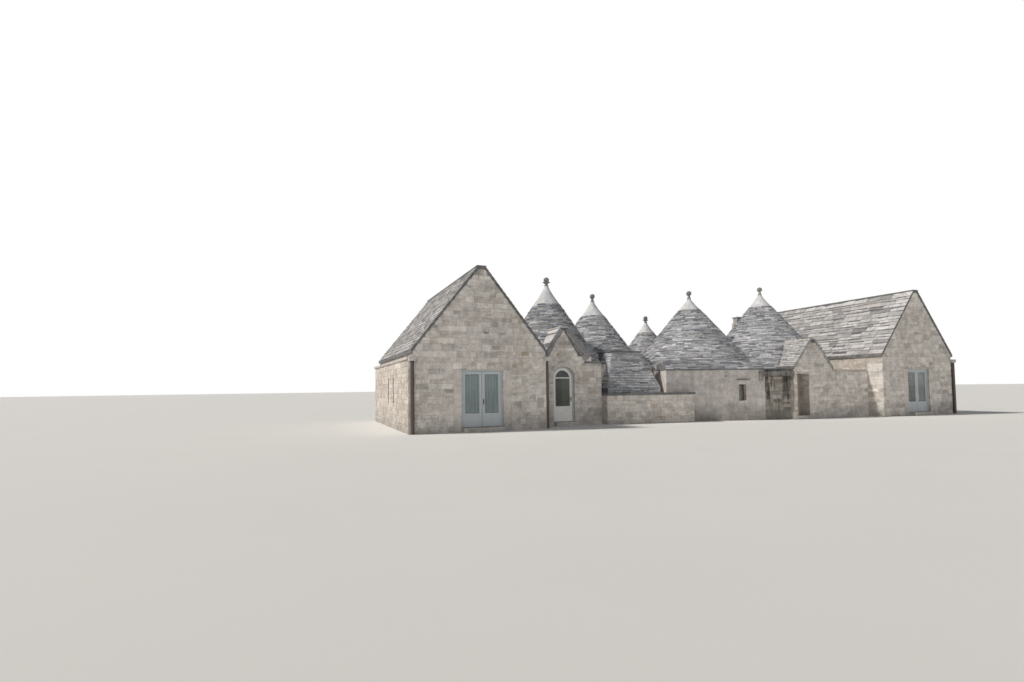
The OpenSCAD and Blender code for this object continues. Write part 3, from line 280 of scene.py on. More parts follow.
# Materials
STONE_SHEEN, STONE_GRAIN, LIME_GRAIN = 0.08, 0.006, 0.015


def new_material(name):
    material = bpy.data.materials.new(name)
    material.use_nodes = True
    tree = material.node_tree
    return material, tree, next(n for n in tree.nodes if n.type == "BSDF_PRINCIPLED")


def surface(tree, shader, colour, rough):
    tree.links.new(colour, shader.inputs["Base Color"])
    tree.links.new(rough, shader.inputs["Roughness"])


def relief(tree, shader, height, strength, distance):
    bump = add(tree, "Bump", Strength=strength, Distance=distance, Height=height)
    tree.links.new(bump.outputs[0], shader.inputs["Normal"])


def attribute(tree, name):
    return add(tree, "Attribute", dict(attribute_name=name)).outputs["Fac"]


def weathered(tree, shader, base, lichen, iron, streaks, foot, lime=0.0):
    worn = grouped(tree, WEATHER, Colour=base, Lichen=lichen, Iron=iron, Streaks=streaks, Foot=foot,
                   Lime=lime)
    surface(tree, shader, worn["Colour"], worn["Roughness"])
    shader.inputs["Specular IOR Level"].default_value = STONE_SHEEN
    return worn["Height"]


def laid_stone(name, dark, light, lichen, iron, streaks, foot=0.0, lime=0.0, bump=0.6):
    """Limestone for stones laid one by one, which carry their own tone and hue."""
    material, tree, shader = new_material(name)
    hue = attribute(tree, "hue")
    base = mix_colour(tree, attribute(tree, "tone"), dark, light)
    base = mix_colour(tree, maths(tree, "MULTIPLY", hue, 0.75, True), base, OCHRE)
    base = mix_colour(tree, maths(tree, "MULTIPLY", hue, -0.75, True), base, SLATE)
    relief(tree, shader, weathered(tree, shader, base, lichen, iron, streaks, foot, lime),
           bump, STONE_GRAIN)
    return material


def block_stone(name, dark, light, lichen, iron, streaks, foot=0.0, size=3.2, joint=0.5, bump=0.5):
    """Limestone for plain faces, with its blocks and joints drawn."""
    material, tree, shader = new_material(name)
    blocks = grouped(tree, RUBBLE, Size=size)
    base = mix_colour(tree, blocks["Tone"], dark, light)
    gap = tuple(c * 0.5 for c in dark)
    base = mix_colour(tree, maths(tree, "MULTIPLY", blocks["Joint"], joint), base, gap)
    height = weathered(tree, shader, base, lichen, iron, streaks, foot)
    height = maths(tree, "SUBTRACT", height, maths(tree, "MULTIPLY", blocks["Joint"], joint * 1.6))
    relief(tree, shader, height, bump, STONE_GRAIN)
    return material


def limewash(name, colour, under, patches, streaks, foot, bump=0.35):
    """Limewash over rough stone, thin where it has worn."""
    material, tree, shader = new_material(name)
    place = object_place(tree)
    thin = ramp(tree, noise(tree, place, 2.3, 6.0, 0.68), 0.50, 0.70)
    base = mix_colour(tree, maths(tree, "MULTIPLY", thin, patches), colour, under)
    base = mix_colour(tree, maths(tree, "MULTIPLY", attribute(tree, "tone"), 0.35), base, under)
    height = weathered(tree, shader, base, 0.12, 0.06, streaks, foot)
    lumps = noise(tree, spread(tree, place, (1.0, 1.0, 1.5)), 5.0, 3.0, 0.5)
    relief(tree, shader, maths(tree, "ADD", height, maths(tree, "MULTIPLY", lumps, 1.6)), bump, LIME_GRAIN)
    return material


def painted_wood(name, colour, worn_colour):
    material, tree, shader = new_material(name)
    place = object_place(tree)
    fibres = noise(tree, spread(tree, place, (60.0, 60.0, 3.0)), 1.0, 4.0, 0.6)
    dirt = noise(tree, place, 4.0, 5.0, 0.65)
    base = mix_colour(tree, ramp(tree, dirt, 0.52, 0.75, 0.0, 0.5), colour, worn_colour)
    base = mix_colour(tree, ramp(tree, fibres, 0.55, 0.8, 0.0, 0.25), base, worn_colour)
    surface(tree, shader, base, ramp(tree, dirt, 0.3, 0.8, 0.38, 0.62))
    relief(tree, shader, fibres, 0.12, 0.004)
    return material


def bare_wood(name, dark, light):
    material, tree, shader = new_material(name)
    place = object_place(tree)
    fibres = noise(tree, spread(tree, place, (70.0, 70.0, 2.5)), 1.0, 5.0, 0.65)
    knots = noise(tree, spread(tree, place, (6.0, 6.0, 2.0)), 1.0, 3.0, 0.6)
    base = mix_colour(tree, fibres, dark, light)
    base = mix_colour(tree, ramp(tree, knots, 0.55, 0.8, 0.0, 0.6), base, dark)
    surface(tree, shader, base, ramp(tree, fibres, 0.2, 0.8, 0.9, 0.7))
    relief(tree, shader, fibres, 0.35, 0.006)
    return material


def window_pane(name, dull, clear):
    material, tree, shader = new_material(name)
    film = noise(tree, object_place(tree), 6.0, 4.0, 0.6)
    surface(tree, shader, mix_colour(tree, film, dull, clear), ramp(tree, film, 0.4, 0.8, 0.015, 0.07))
    shader.inputs["Transmission Weight"].default_value = 0.92
    shader.inputs["IOR"].default_value = 1.45
    return material


def painted_iron(name, colour, rust, amount):
    material, tree, shader = new_material(name)
    spots = noise(tree, object_place(tree), 14.0, 6.0, 0.7)
    base = mix_colour(tree, ramp(tree, spots, 0.55, 0.7, 0.0, amount), colour, rust)
    surface(tree, shader, base, ramp(tree, spots, 0.3, 0.8, 0.42, 0.8))
    relief(tree, shader, spots, 0.15, 0.003)
    return material


def cloth(name, colour, fold_colour):
    material, tree, shader = new_material(name)
    place = object_place(tree)
    folds = noise(tree, spread(tree, place, (40.0, 40.0, 1.0)), 1.0, 3.0, 0.5)
    surface(tree, shader, mix_colour(tree, folds, fold_colour, colour),
            ramp(tree, folds, 0.2, 0.8, 0.95, 0.8))
    relief(tree, shader, noise(tree, place, 160.0, 3.0, 0.6), 0.2, 0.002)
    return material


WALL_BED = block_stone("wall stone bed", (0.60, 0.545, 0.485), (0.80, 0.73, 0.66), 0.28, 0.15, 0.10,
                       0.5)
WALL_STONE = laid_stone("wall stone", (0.62, 0.565, 0.515), (1.0, 0.945, 0.88), 0.30, 0.24, 0.07, 0.40,
                        lime=0.75)
JAMB_STONE = laid_stone("jamb stone", (0.66, 0.61, 0.565), (0.88, 0.825, 0.77), 0.15, 0.10, 0.05, 0.5,
                        bump=0.3)
CONE_BED = block_stone("cone bed", (0.19, 0.19, 0.20), (0.32, 0.315, 0.32), 0.4, 0.05, 0.15, size=4.0)
CONE_STONE = laid_stone("cone slab", (0.24, 0.25, 0.285), (0.90, 0.905, 0.93), 0.30, 0.03, 0.06)
ROOF_STONE = laid_stone("roof slab", (0.36, 0.355, 0.365), (0.86, 0.835, 0.83), 0.55, 0.05, 0.06)
DRESSED = block_stone("dressed stone", (0.66, 0.62, 0.58), (0.82, 0.77, 0.725), 0.22, 0.10, 0.15, 0.3,
                      size=1.1, joint=0.2, bump=0.3)
DARK_SLAB = block_stone("coping slab", (0.21, 0.215, 0.215), (0.30, 0.305, 0.30), 0.45, 0.05, 0.3,
                        size=1.2, joint=0.2, bump=0.4)
FLOOR_STONE = block_stone("floor flags", (0.52, 0.49, 0.44), (0.66, 0.62, 0.56), 0.1, 0.1, 0.0,
                          size=1.8, joint=0.3, bump=0.2)
STAINED = laid_stone("stained stone", (0.24, 0.21, 0.18), (0.68, 0.62, 0.55), 0.65, 0.22, 0.95, 0.9)
STAINED_BED = block_stone("stained bed", (0.26, 0.245, 0.225), (0.42, 0.395, 0.365), 0.4, 0.1, 0.8, 0.5)
BALL_STONE = block_stone("finial stone", (0.27, 0.29, 0.27), (0.46, 0.475, 0.45), 0.6, 0.1, 0.3,
                         size=2.0, joint=0.1)
WHITE_WALL = limewash("limewashed wall", (0.80, 0.745, 0.71), (0.49, 0.445, 0.41), 0.55, 0.14, 0.8)
LIME_CAP = limewash("lime cap", (0.86, 0.855, 0.865), (0.58, 0.575, 0.58), 0.45, 0.14, 0.0, bump=0.2)
DOOR_PAINT = painted_wood("door paint", (0.56, 0.60, 0.62), (0.42, 0.44, 0.44))
ARCH_PAINT = painted_wood("arched door paint", (0.90, 0.89, 0.86), (0.66, 0.65, 0.61))
PLANKS = bare_wood("planks", (0.15, 0.12, 0.085), (0.60, 0.52, 0.38))
WINDOW_WOOD = bare_wood("window wood", (0.07, 0.045, 0.03), (0.20, 0.13, 0.085))
PANE = window_pane("window pane", (0.72, 0.79, 0.78), (0.86, 0.91, 0.90))
DARK_PANE = window_pane("dark window pane", (0.30, 0.34, 0.32), (0.42, 0.46, 0.44))
PIPE_PAINT = painted_iron("pipe paint", (0.090, 0.066, 0.056), (0.17, 0.095, 0.065), 0.5)
HINGE_IRON = painted_iron("hinge iron", (0.05, 0.05, 0.05), (0.16, 0.08, 0.05), 0.5)
NET_CURTAIN = cloth("net curtain", (0.50, 0.585, 0.62), (0.33, 0.40, 0.44))
OLIVE_CURTAIN = cloth("olive curtain", (0.95, 0.93, 0.50), (0.55, 0.54, 0.28))
# Paler than the cloth itself: painted light for what the pane in front of it keeps off.
PAINTED_LIGHT_BEIGE_CURTAIN = cloth("beige curtain with painted light", (1.0, 0.92, 0.76), (0.80, 0.72, 0.58))

NODE_LOOKS = {
    WALL_BED: [
        "lamia_front_piers", "lamia_gables", "lamia_outer_walls", "lamia_inner_walls", "lamia_rear_walls",
        "porch_1_wall", "porch_2_wall", "porch_gables", "trullo_side_walls", "trullo_end_walls", "wedge_wall",
        "courtyard_wall"],
    CONE_BED: ["cone_1", "cone_2", "cone_3", "cone_4", "cone_5", "lamia_roof_outer", "lamia_roof_inner",
               "porch_roof_left", "porch_roof_right", "roof_skirt", "oven"],
    DRESSED: ["lamia_ledge_slabs", "porch_ridge_slabs", "arch_ring", "doorsteps", "chimney"],
    DARK_SLAB: ["coping_slabs", "lamia_ridge_slabs", "window_hood"],
    FLOOR_STONE: ["stone_floors"],
    STAINED_BED: ["stained_bay_wall", "gutter_stone"],
    BALL_STONE: ["cone_finials"],
    WHITE_WALL: ["white_front_wall"],
    LIME_CAP: ["cone_caps"],
    DOOR_PAINT: ["door_frames", "terrace_leaf_left", "terrace_leaf_right", "east_door_leaves"],
    ARCH_PAINT: ["arched_leaf"],
    PLANKS: ["plank_leaf"],
    PANE: ["terrace_glass_left", "terrace_glass_right", "east_door_glass", "window_glass"],
    DARK_PANE: ["arched_glass"],
    PIPE_PAINT: ["rain_pipes"],
    HINGE_IRON: ["door_hinges"],
}


def dress_nodes():
    for look, names in NODE_LOOKS.items():
        for name in names:
            slots = NODES[name].data.materials
            for k in range(len(slots)):
                slots[k] = look
            if not slots:
                slots.append(look)


def placed(name, data):
    thing = bpy.data.objects.new(name, data)
    bpy.context.scene.collection.objects.link(thing)
    return thing


def mesh_object(name, bm, look):
    mesh = bpy.data.meshes.new(name)
    bm.to_mesh(mesh)
    bm.free()
    mesh.materials.append(look)
    return placed(name, mesh)


def new_piece(name, bm, look, body="masonry"):
    """A finished piece that rides on a body and takes the look it is given."""
    bmesh.ops.recalc_face_normals(bm, faces=bm.faces)
    piece = mesh_object(name, bm, look)
    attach(piece, body)
    return piece


# Laid stones: the joint between two, and what is too narrow or too low to count
JOINT, SLIVER = 0.003, 0.03


def crosses(v0, v1, sill, head):
    """Whether a row of stones reaches into an opening by more than a sliver."""
    return v1 >= sill + SLIVER and v0 <= head - SLIVER


class Mason:
    """Lays stones one by one into a single mesh. Each stone keeps its own tone and hue."""

    def __init__(self, seed):
        self.bm = bmesh.new()
        self.tone = self.bm.verts.layers.float.new("tone")
        self.hue = self.bm.verts.layers.float.new("hue")
        self.rng = random.Random(seed)

    def pick(self, spread_by=0.24, odd=0.05, middle=0.55):
        """Tone and hue of a stone: most are near the middle, a few are dark or ochre."""
        rng = self.rng
        tone = min(1.0, max(0.0, rng.gauss(middle, spread_by)))
        chance = rng.random()
        if chance < odd:
            return tone, -rng.uniform(0.3, 0.8)
        if chance < odd * 1.6:
            return tone, rng.uniform(0.2, 0.7)
        return tone, rng.uniform(-0.08, 0.12)

    # Darker, warmer stones for the west side that faces the key light: painted shade that tones the key light
    # down there, and a painted warm bounce light in the hue.
    def warm_painted_light_pick(self):
        tone, hue = self.pick(0.20, 0.02, 0.38)
        return tone, min(1.0, hue + self.rng.uniform(0.12, 0.42))

    def stone(self, middle, along, up, size, proud, lap=0.0, inset=0.006, depth=0.05, look=None,
              rough=0.004):
        """One stone. Its outer face is chamfered, a little out of true and drawn in by lap at its top."""
        rng = self.rng
        out = along.cross(up)
        width, height = size
        place = Matrix((along * width, up * height, out * (proud + depth))).transposed().to_4x4()
        place.translation = middle + out * ((proud - depth) / 2)
        tone, hue = look or self.pick()
        for v in bmesh.ops.create_cube(self.bm, size=1.0, matrix=place)["verts"]:
            rel = v.co - middle
            v[self.tone] = tone
            v[self.hue] = hue
            if rel.dot(out) > 0:
                side = 1 if rel.dot(along) > 0 else -1
                top = 1 if rel.dot(up) > 0 else -1
                aside = along * side * (inset + rng.uniform(0, rough))
                v.co -= aside + up * top * (inset + rng.uniform(0, rough))
                v.co += out * (rng.uniform(-rough, rough) - lap * (0.5 + 0.5 * top))

    def row(self, corner, along, up, a, b, v, h, width, proud, split, looks, how):
        """Stones of uneven width from a to b. Some of them are two thin stones, one on the other."""
        rng = self.rng
        u = a
        while u < b - 0.01:
            w = width * rng.uniform(0.55, 1.7)
            if u + w > b - width * 0.4:
                w = b - u
            cuts = [v, v + h]
            if h > 0.12 and rng.random() < split:
                cuts.insert(1, v + h * rng.uniform(0.35, 0.65))
            for low, high in zip(cuts, cuts[1:]):
                middle = corner + along * (u + w / 2) + up * ((low + high) / 2)
                self.stone(middle, along, up, (w - JOINT, high - low - JOINT), proud * rng.uniform(0.55, 1.0),
                           look=looks(), **how)
            u += w

    def face(self, corner, along, up, length, height, course, width, proud, gaps=None, span=None,
             split=0.0, looks=None, **how):
        """Covers a flat face with rows of stones. span and gaps say what a row covers at its height."""
        rng = self.rng
        v = 0.0
        while v < height - 0.02:
            h = course * rng.uniform(0.70, 1.35)
            if v + h > height - course * 0.45:
                h = height - v
            runs = [span(v + h / 2) if span else (0.0, length)]
            for a, b in (gaps(v, v + h) if gaps else ()):
                parts = [p for c, d in runs for p in ((c, min(d, a)), (max(c, b), d))]
                runs = [p for p in parts if p[1] - p[0] > SLIVER]
            for a, b in runs:
                self.row(corner, along, up, a, b, v, h, width, proud, split, looks or self.pick, how)
            v += h

    def cone(self, name, course, width, proud, lap, keep):
        """Rings of slabs round a cone up to its lime cap. keep says which of them show."""
        rng = self.rng
        x, y, base, radius, top, cap = CONES[name]
        rise = top - base
        tall = math.hypot(radius, rise)
        v = 0.05 * tall / rise
        end = (rise - cap) * tall / rise
        while v < end - 0.01:
            h = course * rng.uniform(0.75, 1.3)
            if v + h > end - course * 0.5:
                h = end - v
            ring = radius * (1 - (v + h / 2) / tall)
            z = base + rise * (v + h / 2) / tall
            shade = rng.uniform(-0.15, 0.15)
            turn = rng.uniform(0, 2 * math.pi)
            stop = turn + 2 * math.pi
            while turn < stop - 0.001:
                step = min(width * rng.uniform(0.5, 1.7), 0.55 * ring) / ring
                if turn + step > stop - width * 0.4 / ring:
                    step = stop - turn
                flat = Vector((math.cos(turn + step / 2), math.sin(turn + step / 2), 0))
                middle = site(x, y, z) + flat * ring
                if keep(middle + SITE_MIDDLE):
                    along = UP.cross(flat)
                    up = (flat * -radius + UP * rise) / tall
                    look = self.pick(0.26, 0.05, 0.48 + shade)
                    self.stone(middle, along, up, (step * ring * 1.01 - JOINT, h - 0.002),
                               proud + rng.uniform(-0.006, 0.006), lap=lap, inset=0.004, depth=0.06,
                               look=look)
                turn += step
            v += h

    def trim(self, point, normal):
        """Cuts off what lies on the far side of a plane and closes the cut."""
        geometry = self.bm.verts[:] + self.bm.edges[:] + self.bm.faces[:]
        cut = bmesh.ops.bisect_plane(self.bm, geom=geometry, plane_co=point, plane_no=normal,
                                     clear_outer=True)
        edges = [e for e in cut["geom_cut"] if isinstance(e, bmesh.types.BMEdge)]
        bmesh.ops.edgeloop_fill(self.bm, edges=edges)

    def move_east(self):
        """Turns what was laid for the west lamia the other way round, to where the east one stands."""
        for v in self.bm.verts:
            v.co = Vector((-v.co.x, v.co.y + EAST_Y, v.co.z))

    def done(self, name, look):
        return new_piece(name, self.bm, look)


# Where the slabs of a cone show: a slab counts as covered when its middle is within the spare
SPARE, LAMIA_EDGE = 0.02, 0.07


def under_cone(p, name, spare=0.0):
    x, y, base, radius, top, _ = CONES[name]
    reach = radius * (top - p.z) / (top - base) + spare
    return p.z >= base - 0.01 and math.hypot(p.x - x, p.y - y) < reach


def porch_line(porch, x):
    """Height of a porch roof at a site X."""
    rise = porch["ridge"] - porch["eave"]
    from_left = (x - porch["x0"]) / (porch["left"] - porch["x0"])
    from_right = (porch["x1"] - x) / (porch["x1"] - porch["right"])
    return porch["eave"] + rise * min(1.0, from_left, from_right)


def under_porch(p, porch):
    inside = porch["x0"] < p.x < porch["x1"] and p.y < porch["front"] + PORCH_DEPTH
    return inside and p.z < porch_line(porch, p.x)


def in_lamia(p):
    return p.x < LAMIA_EDGE and p.z < LAMIA_RIDGE - LAMIA_SLOPE * abs(p.x + LAMIA_WIDTH / 2) + SPARE


def left_of_wing(p):
    return (p.x - WING_CORNER[0]) * math.cos(WING_TURN) < (p.y - WING_CORNER[1]) * math.sin(WING_TURN)


CONE_SHOWS = {
    "cone_1": lambda p: not in_lamia(p) and not under_porch(p, PORCH_1) and p.y > PORCH_1["front"] - SPARE,
    "cone_2": lambda p: not under_cone(p, "cone_1", SPARE),
    "cone_3": lambda p: not left_of_wing(p),
    "cone_4": lambda p: not under_cone(p, "cone_3", SPARE) and not under_porch(p, PORCH_2),
    "cone_5": lambda p: not under_cone(p, "cone_3", SPARE),
}


# Thin slabs of the cones, the skirt and the oven: height of a course, width and how far each top draws in
SLAB_COURSE, SLAB_WIDTH, SLAB_LAP = 0.072, 0.26, 0.010


def cone_slabs():
    for seed, (name, shows) in enumerate(CONE_SHOWS.items()):
        mason = Mason(100 + seed)
        mason.cone(name, SLAB_COURSE, SLAB_WIDTH, proud=0.036, lap=SLAB_LAP, keep=shows)
        mason.done(name + "_slabs", CONE_STONE)


# Lamie. They are laid where the west one stands, and the east one is the same the other way round
WALL = dict(course=0.19, width=0.36, proud=0.012, split=0.24, inset=0.003, rough=0.003)
LAMIA_LEFT = -LAMIA_WIDTH - LEDGE_OUT


def lamia_span(v):
    inset = max(0.0, (v - (LAMIA_EAVE - LAMIA_ROOF)) / LAMIA_SLOPE)
    left = LEDGE_OUT if v > LEDGE_UNDER else 0.0
    return left + inset, LEDGE_OUT + LAMIA_WIDTH - inset


def terrace_gap(v0, v1):
    left = LEDGE_OUT + TERRACE_X
    return [(left - JAMB, left + TERRACE_WIDTH + JAMB)] if crosses(v0, v1, 0.0, TERRACE_HEAD) else []


def slit_gaps(v0, v1):
    if not crosses(v0, v1, SLIT_SILL, SLIT_SILL + SLIT_HEIGHT):
        return []
    return [(FAR_END - y - SLIT_WIDTH / 2, FAR_END - y + SLIT_WIDTH / 2) for y in SLITS]


def lay_lamia_walls(mason):
    crown = LAMIA_CROWN - 0.02
    mason.face(site(LAMIA_LEFT, 0, 0), EAST, UP, 0, crown, gaps=terrace_gap, span=lamia_span, **WALL)
    # The west side takes the darker, warmer stones: painted shade against the key light and a painted warm
    # bounce light.
    mason.face(site(LAMIA_LEFT, FAR_END, 0), SOUTH, UP, FAR_END, LEDGE_UNDER, gaps=slit_gaps,
               looks=mason.warm_painted_light_pick, **WALL)
    mason.face(site(0, FAR_END, 0), WEST, UP, LAMIA_WIDTH + LEDGE_OUT, LEDGE_UNDER, **WALL)
    above = LEDGE_UNDER + LEDGE_THICK

    def rear_span(v):
        inset = max(0.0, (v + above - (LAMIA_EAVE - LAMIA_ROOF)) / LAMIA_SLOPE)
        return inset, LAMIA_WIDTH - inset

    mason.face(site(0, LAMIA_LENGTH, above), WEST, UP, 0, crown - above, span=rear_span, **WALL)


def lay_jambs(mason):
    """Smooth upright stones on both sides of the terrace door."""
    for x in (TERRACE_X - JAMB, TERRACE_X + TERRACE_WIDTH):
        mason.face(site(-LAMIA_WIDTH + x, 0, 0), EAST, UP, JAMB, TERRACE_HEAD,
                   course=0.42, width=JAMB * 2, proud=0.018,
                   looks=lambda: mason.pick(0.08, 0.0, 0.75), inset=0.004)


def lay_lamia_roof(mason, course, width, tones):
    run = LAMIA_WIDTH / 2 + EAVE_OUT - (RIDGE_HALF - RIDGE_LIP)
    tall = run * math.hypot(1, LAMIA_SLOPE)
    low = LAMIA_EAVE - EAVE_OUT * LAMIA_SLOPE
    length = LAMIA_LENGTH + 2 * VERGE
    slabs = dict(course=course, width=width, proud=0.020, lap=0.016, inset=0.005, depth=0.05, looks=tones)
    for x, y, along, over in ((-LAMIA_WIDTH - EAVE_OUT, length - VERGE, SOUTH, EAST),
                              (EAVE_OUT, -VERGE, NORTH, WEST)):
        up = (over + UP * LAMIA_SLOPE).normalized()
        mason.face(site(x, y, low), along, up, length, tall - 0.01, **slabs)


def lay_gable_accents(mason):
    """Odd brown, ochre and dark stones of the west gable: left, right, bottom, top, tone and hue."""
    for x0, x1, z0, z1, tone, hue in (
            (-1.32, -1.16, 2.40, 2.62, 0.10, 0.45), (-1.33, -1.16, 2.22, 2.36, 0.25, 1.00),
            (-1.34, -0.88, 1.97, 2.21, 0.15, 0.10), (-2.07, -1.83, 2.86, 3.00, 0.05, -0.75),
            (-1.29, -1.02, 0.85, 1.04, 0.08, -0.35), (-0.69, -0.42, 0.98, 1.24, 0.10, 0.15),
            (-0.37, -0.10, 0.75, 1.13, 0.08, -0.10), (-0.98, -0.67, 2.66, 2.80, 0.35, 0.85),
            (-2.34, -2.12, 4.07, 4.13, 0.02, -0.60), (-2.19, -1.89, 3.83, 3.96, 0.12, -0.15),
            (-2.96, -2.85, 5.03, 5.13, 0.05, -0.50)):
        middle = site((x0 + x1) / 2, 0, (z0 + z1) / 2)
        mason.stone(middle, EAST, UP, (x1 - x0, z1 - z0), 0.0155, inset=0.003, look=(tone, hue))
    # A dark stone that juts out
    mason.stone(site(-2.32, 0, 3.455), EAST, UP, (0.16, 0.07), 0.11, look=(0.0, -0.7))


def lamie():
    west = Mason(11)
    lay_lamia_walls(west)
    lay_gable_accents(west)
    west.done("west_lamia_stones", WALL_STONE)
    east = Mason(12)
    lay_lamia_walls(east)
    east.move_east()
    east.done("east_lamia_stones", WALL_STONE)
    for side, seed in (("west", 13), ("east", 14)):
        jambs = Mason(seed)
        lay_jambs(jambs)
        if side == "east":
            jambs.move_east()
        jambs.done(side + "_door_jambs", JAMB_STONE)
    west = Mason(15)
    lay_lamia_roof(west, 0.16, 0.30, lambda: west.pick(0.30, 0.08, 0.55))
    west.done("west_lamia_slabs", ROOF_STONE)
    east = Mason(16)
    lay_lamia_roof(east, 0.22, 0.44, lambda: east.pick(0.26, 0.08, 0.60))
    east.move_east()
    east.done("east_lamia_slabs", ROOF_STONE)


# Porches
def arch_gap(v0, v1):
    """What the arched doorway and its ring leave free in a row of the first porch."""
    ring = ARCH_WIDTH / 2 + ARCH_RING
    if v1 < ARCH_SPRING:
        half = ARCH_WIDTH / 2
    else:
        half = math.sqrt(max(0.0, (ring + 0.02) ** 2 - max(0.0, (v0 + v1) / 2 - ARCH_SPRING) ** 2))
    return [(ARCH_X - half, ARCH_X + half)] if half else []


def porch_1_span(v):
    if v < FRONT_TOP:
        return 0.0, FRONT_RIGHT
    if v < PORCH_1_UNDER:
        return PORCH_1["x0"], PORCH_1["x1"]
    half = PORCH_1_INNER * (PORCH_1_TOP - v) / (PORCH_1_TOP - PORCH_1_UNDER)
    return PORCH_1_MIDDLE - half, PORCH_1_MIDDLE + half


def porch_2_gap(v0, v1):
    return [(PLANK_X, PLANK_X + PLANK_WIDTH)] if crosses(v0, v1, 0.0, PLANK_HEAD) else []


def porch_2_span(v):
    if v < WING_TOP:
        return 0.0, EAST_X - PORCH_2["x0"]
    rise = max(0.0, v - PORCH_2["eave"] + PORCH_2_ROOF) / (PORCH_2["ridge"] - PORCH_2["eave"])
    left = (PORCH_2["left"] - PORCH_2["x0"]) * rise
    right = (PORCH_2["x1"] - PORCH_2["right"]) * rise
    return left, PORCH_2["x1"] - PORCH_2["x0"] - right


def lay_front(mason):
    mason.face(site(0, PORCH_1["front"], 0), EAST, UP, 0, PORCH_1_TOP - 0.03,
               gaps=arch_gap, span=porch_1_span, **WALL)
    mason.face(site(FRONT_RIGHT, PORCH_1["front"], 0), NORTH, UP, RETURN_WALL, FRONT_TOP, **WALL)
    mason.face(site(FRONT_RIGHT + RETURN_WALL, ROOM_2_FRONT, 0), EAST, UP, ROOM_2_WIDTH, FRONT_TOP, **WALL)
    mason.face(site(PORCH_2["x0"], PORCH_2["front"], 0), EAST, UP, 0, PORCH_2["ridge"] - PORCH_2_ROOF - 0.03,
               gaps=porch_2_gap, span=porch_2_span, **WALL)
    mason.face(site(EAST_X, PORCH_2["front"], 0), SOUTH, UP, PORCH_2["front"] - EAST_Y, SIDE_WALL_TOP, **WALL)
    mason.face(site(0, 0, 0), NORTH, UP, PORCH_1["front"], SIDE_WALL_TOP, **WALL)
    # The pale block over the coping slab and the round ochre stone over the arch
    mason.stone(site(2.29, PORCH_1["front"], 2.595), EAST, UP, (0.42, 0.25), 0.03, look=(1.0, -0.12))
    mason.stone(site(1.02, PORCH_1["front"], 2.80), EAST, UP, (0.15, 0.14), 0.02, inset=0.03, look=(0.3, 1.0))


def lay_arch_stones(mason):
    """Wedge-shaped stones of the arch ring."""
    count, middle_r = 11, ARCH_WIDTH / 2 + ARCH_RING / 2
    for k in range(count):
        turn = math.pi * (k + 0.5) / count
        radial = Vector((math.cos(turn), 0, math.sin(turn)))
        middle = site(ARCH_X, PORCH_1["front"] - 0.025, ARCH_SPRING) + radial * middle_r
        size = math.pi * middle_r / count, ARCH_RING - 0.01
        mason.stone(middle, Vector((radial.z, 0, -radial.x)), radial, size, 0.006, inset=0.005, depth=0.01,
                    look=mason.pick(0.12, 0.0, 0.6))


def lay_verge(mason, start, end, thick_start, thick_end, outward):
    """Thin courses on the front edge of a porch slope. The line from start to end is its upper edge."""
    line = end - start
    length = line.length
    along = line / length
    wide = max(thick_start, thick_end)
    lean = (thick_end - thick_start) / length

    def reach(v):
        inward = wide - v
        if abs(lean) < 0.001 or inward < min(thick_start, thick_end):
            return 0.0, length
        at = (inward - thick_start) / lean
        return (0.0, at) if lean < 0 else (at, length)

    # The verge stones are laid dark grey: painted shade of the front-facing verge, over stone that is grey
    # itself.
    mason.face(start - outward * wide, along, outward, length, wide - 0.004,
               course=0.055, width=0.34, proud=0.010, span=reach, inset=0.005, depth=0.03,
               looks=lambda: mason.pick(0.16, 0.1, 0.28))


def lay_porch_roof(mason, porch, cone, left_course, left_width, left_tone):
    rise = porch["ridge"] - porch["eave"]
    front, back = porch["front"] - VERGE, porch["front"] + PORCH_DEPTH
    slabs = dict(proud=0.016, lap=0.012, inset=0.004, depth=0.05)

    def reach(v, x0, run):
        """How far back a row runs before it meets the cone."""
        share = v / math.hypot(run, rise)
        x, z = x0 + run * share, porch["eave"] + rise * share
        y = front
        while y < back and not (y > porch["front"] + PORCH_GABLE and under_cone(Vector((x, y, z)), cone)):
            y += 0.05
        return y - front

    left_run, right_run = porch["left"] - porch["x0"], porch["right"] - porch["x1"]
    up = Vector((left_run, 0, rise)).normalized()
    mason.face(site(porch["x0"], back, porch["eave"]), SOUTH, up, 0, math.hypot(left_run, rise) - 0.01,
               course=left_course, width=left_width, looks=lambda: mason.pick(0.20, 0.0, left_tone),
               span=lambda v: (back - front - reach(v, porch["x0"], left_run), back - front), **slabs)
    up = Vector((right_run, 0, rise)).normalized()
    mason.face(site(porch["x1"], front, porch["eave"]), NORTH, up, 0, math.hypot(right_run, rise) - 0.01,
               course=0.105, width=0.30, looks=lambda: mason.pick(0.24, 0.06, 0.5),
               span=lambda v: (0.0, reach(v, porch["x1"], right_run)), **slabs)


def lay_porch_verges(mason):
    """Verges of both porches. Each slope's thickness is given at its two ends, from left to right."""
    for porch, thick in ((PORCH_1, (0.225, 0.175, 0.165, 0.44)), (PORCH_2, (0.09, 0.09, 0.09, 0.09))):
        front = porch["front"] - VERGE
        eaves = [site(porch[side], front, porch["eave"]) for side in ("x0", "x1")]
        tops = [site(porch[side], front, porch["ridge"]) for side in ("left", "right")]
        for start, end, ends in ((eaves[0], tops[0], thick[:2]), (tops[1], eaves[1], thick[2:])):
            line = (end - start).normalized()
            lay_verge(mason, start, end, *ends, Vector((-line.z, 0, line.x)))


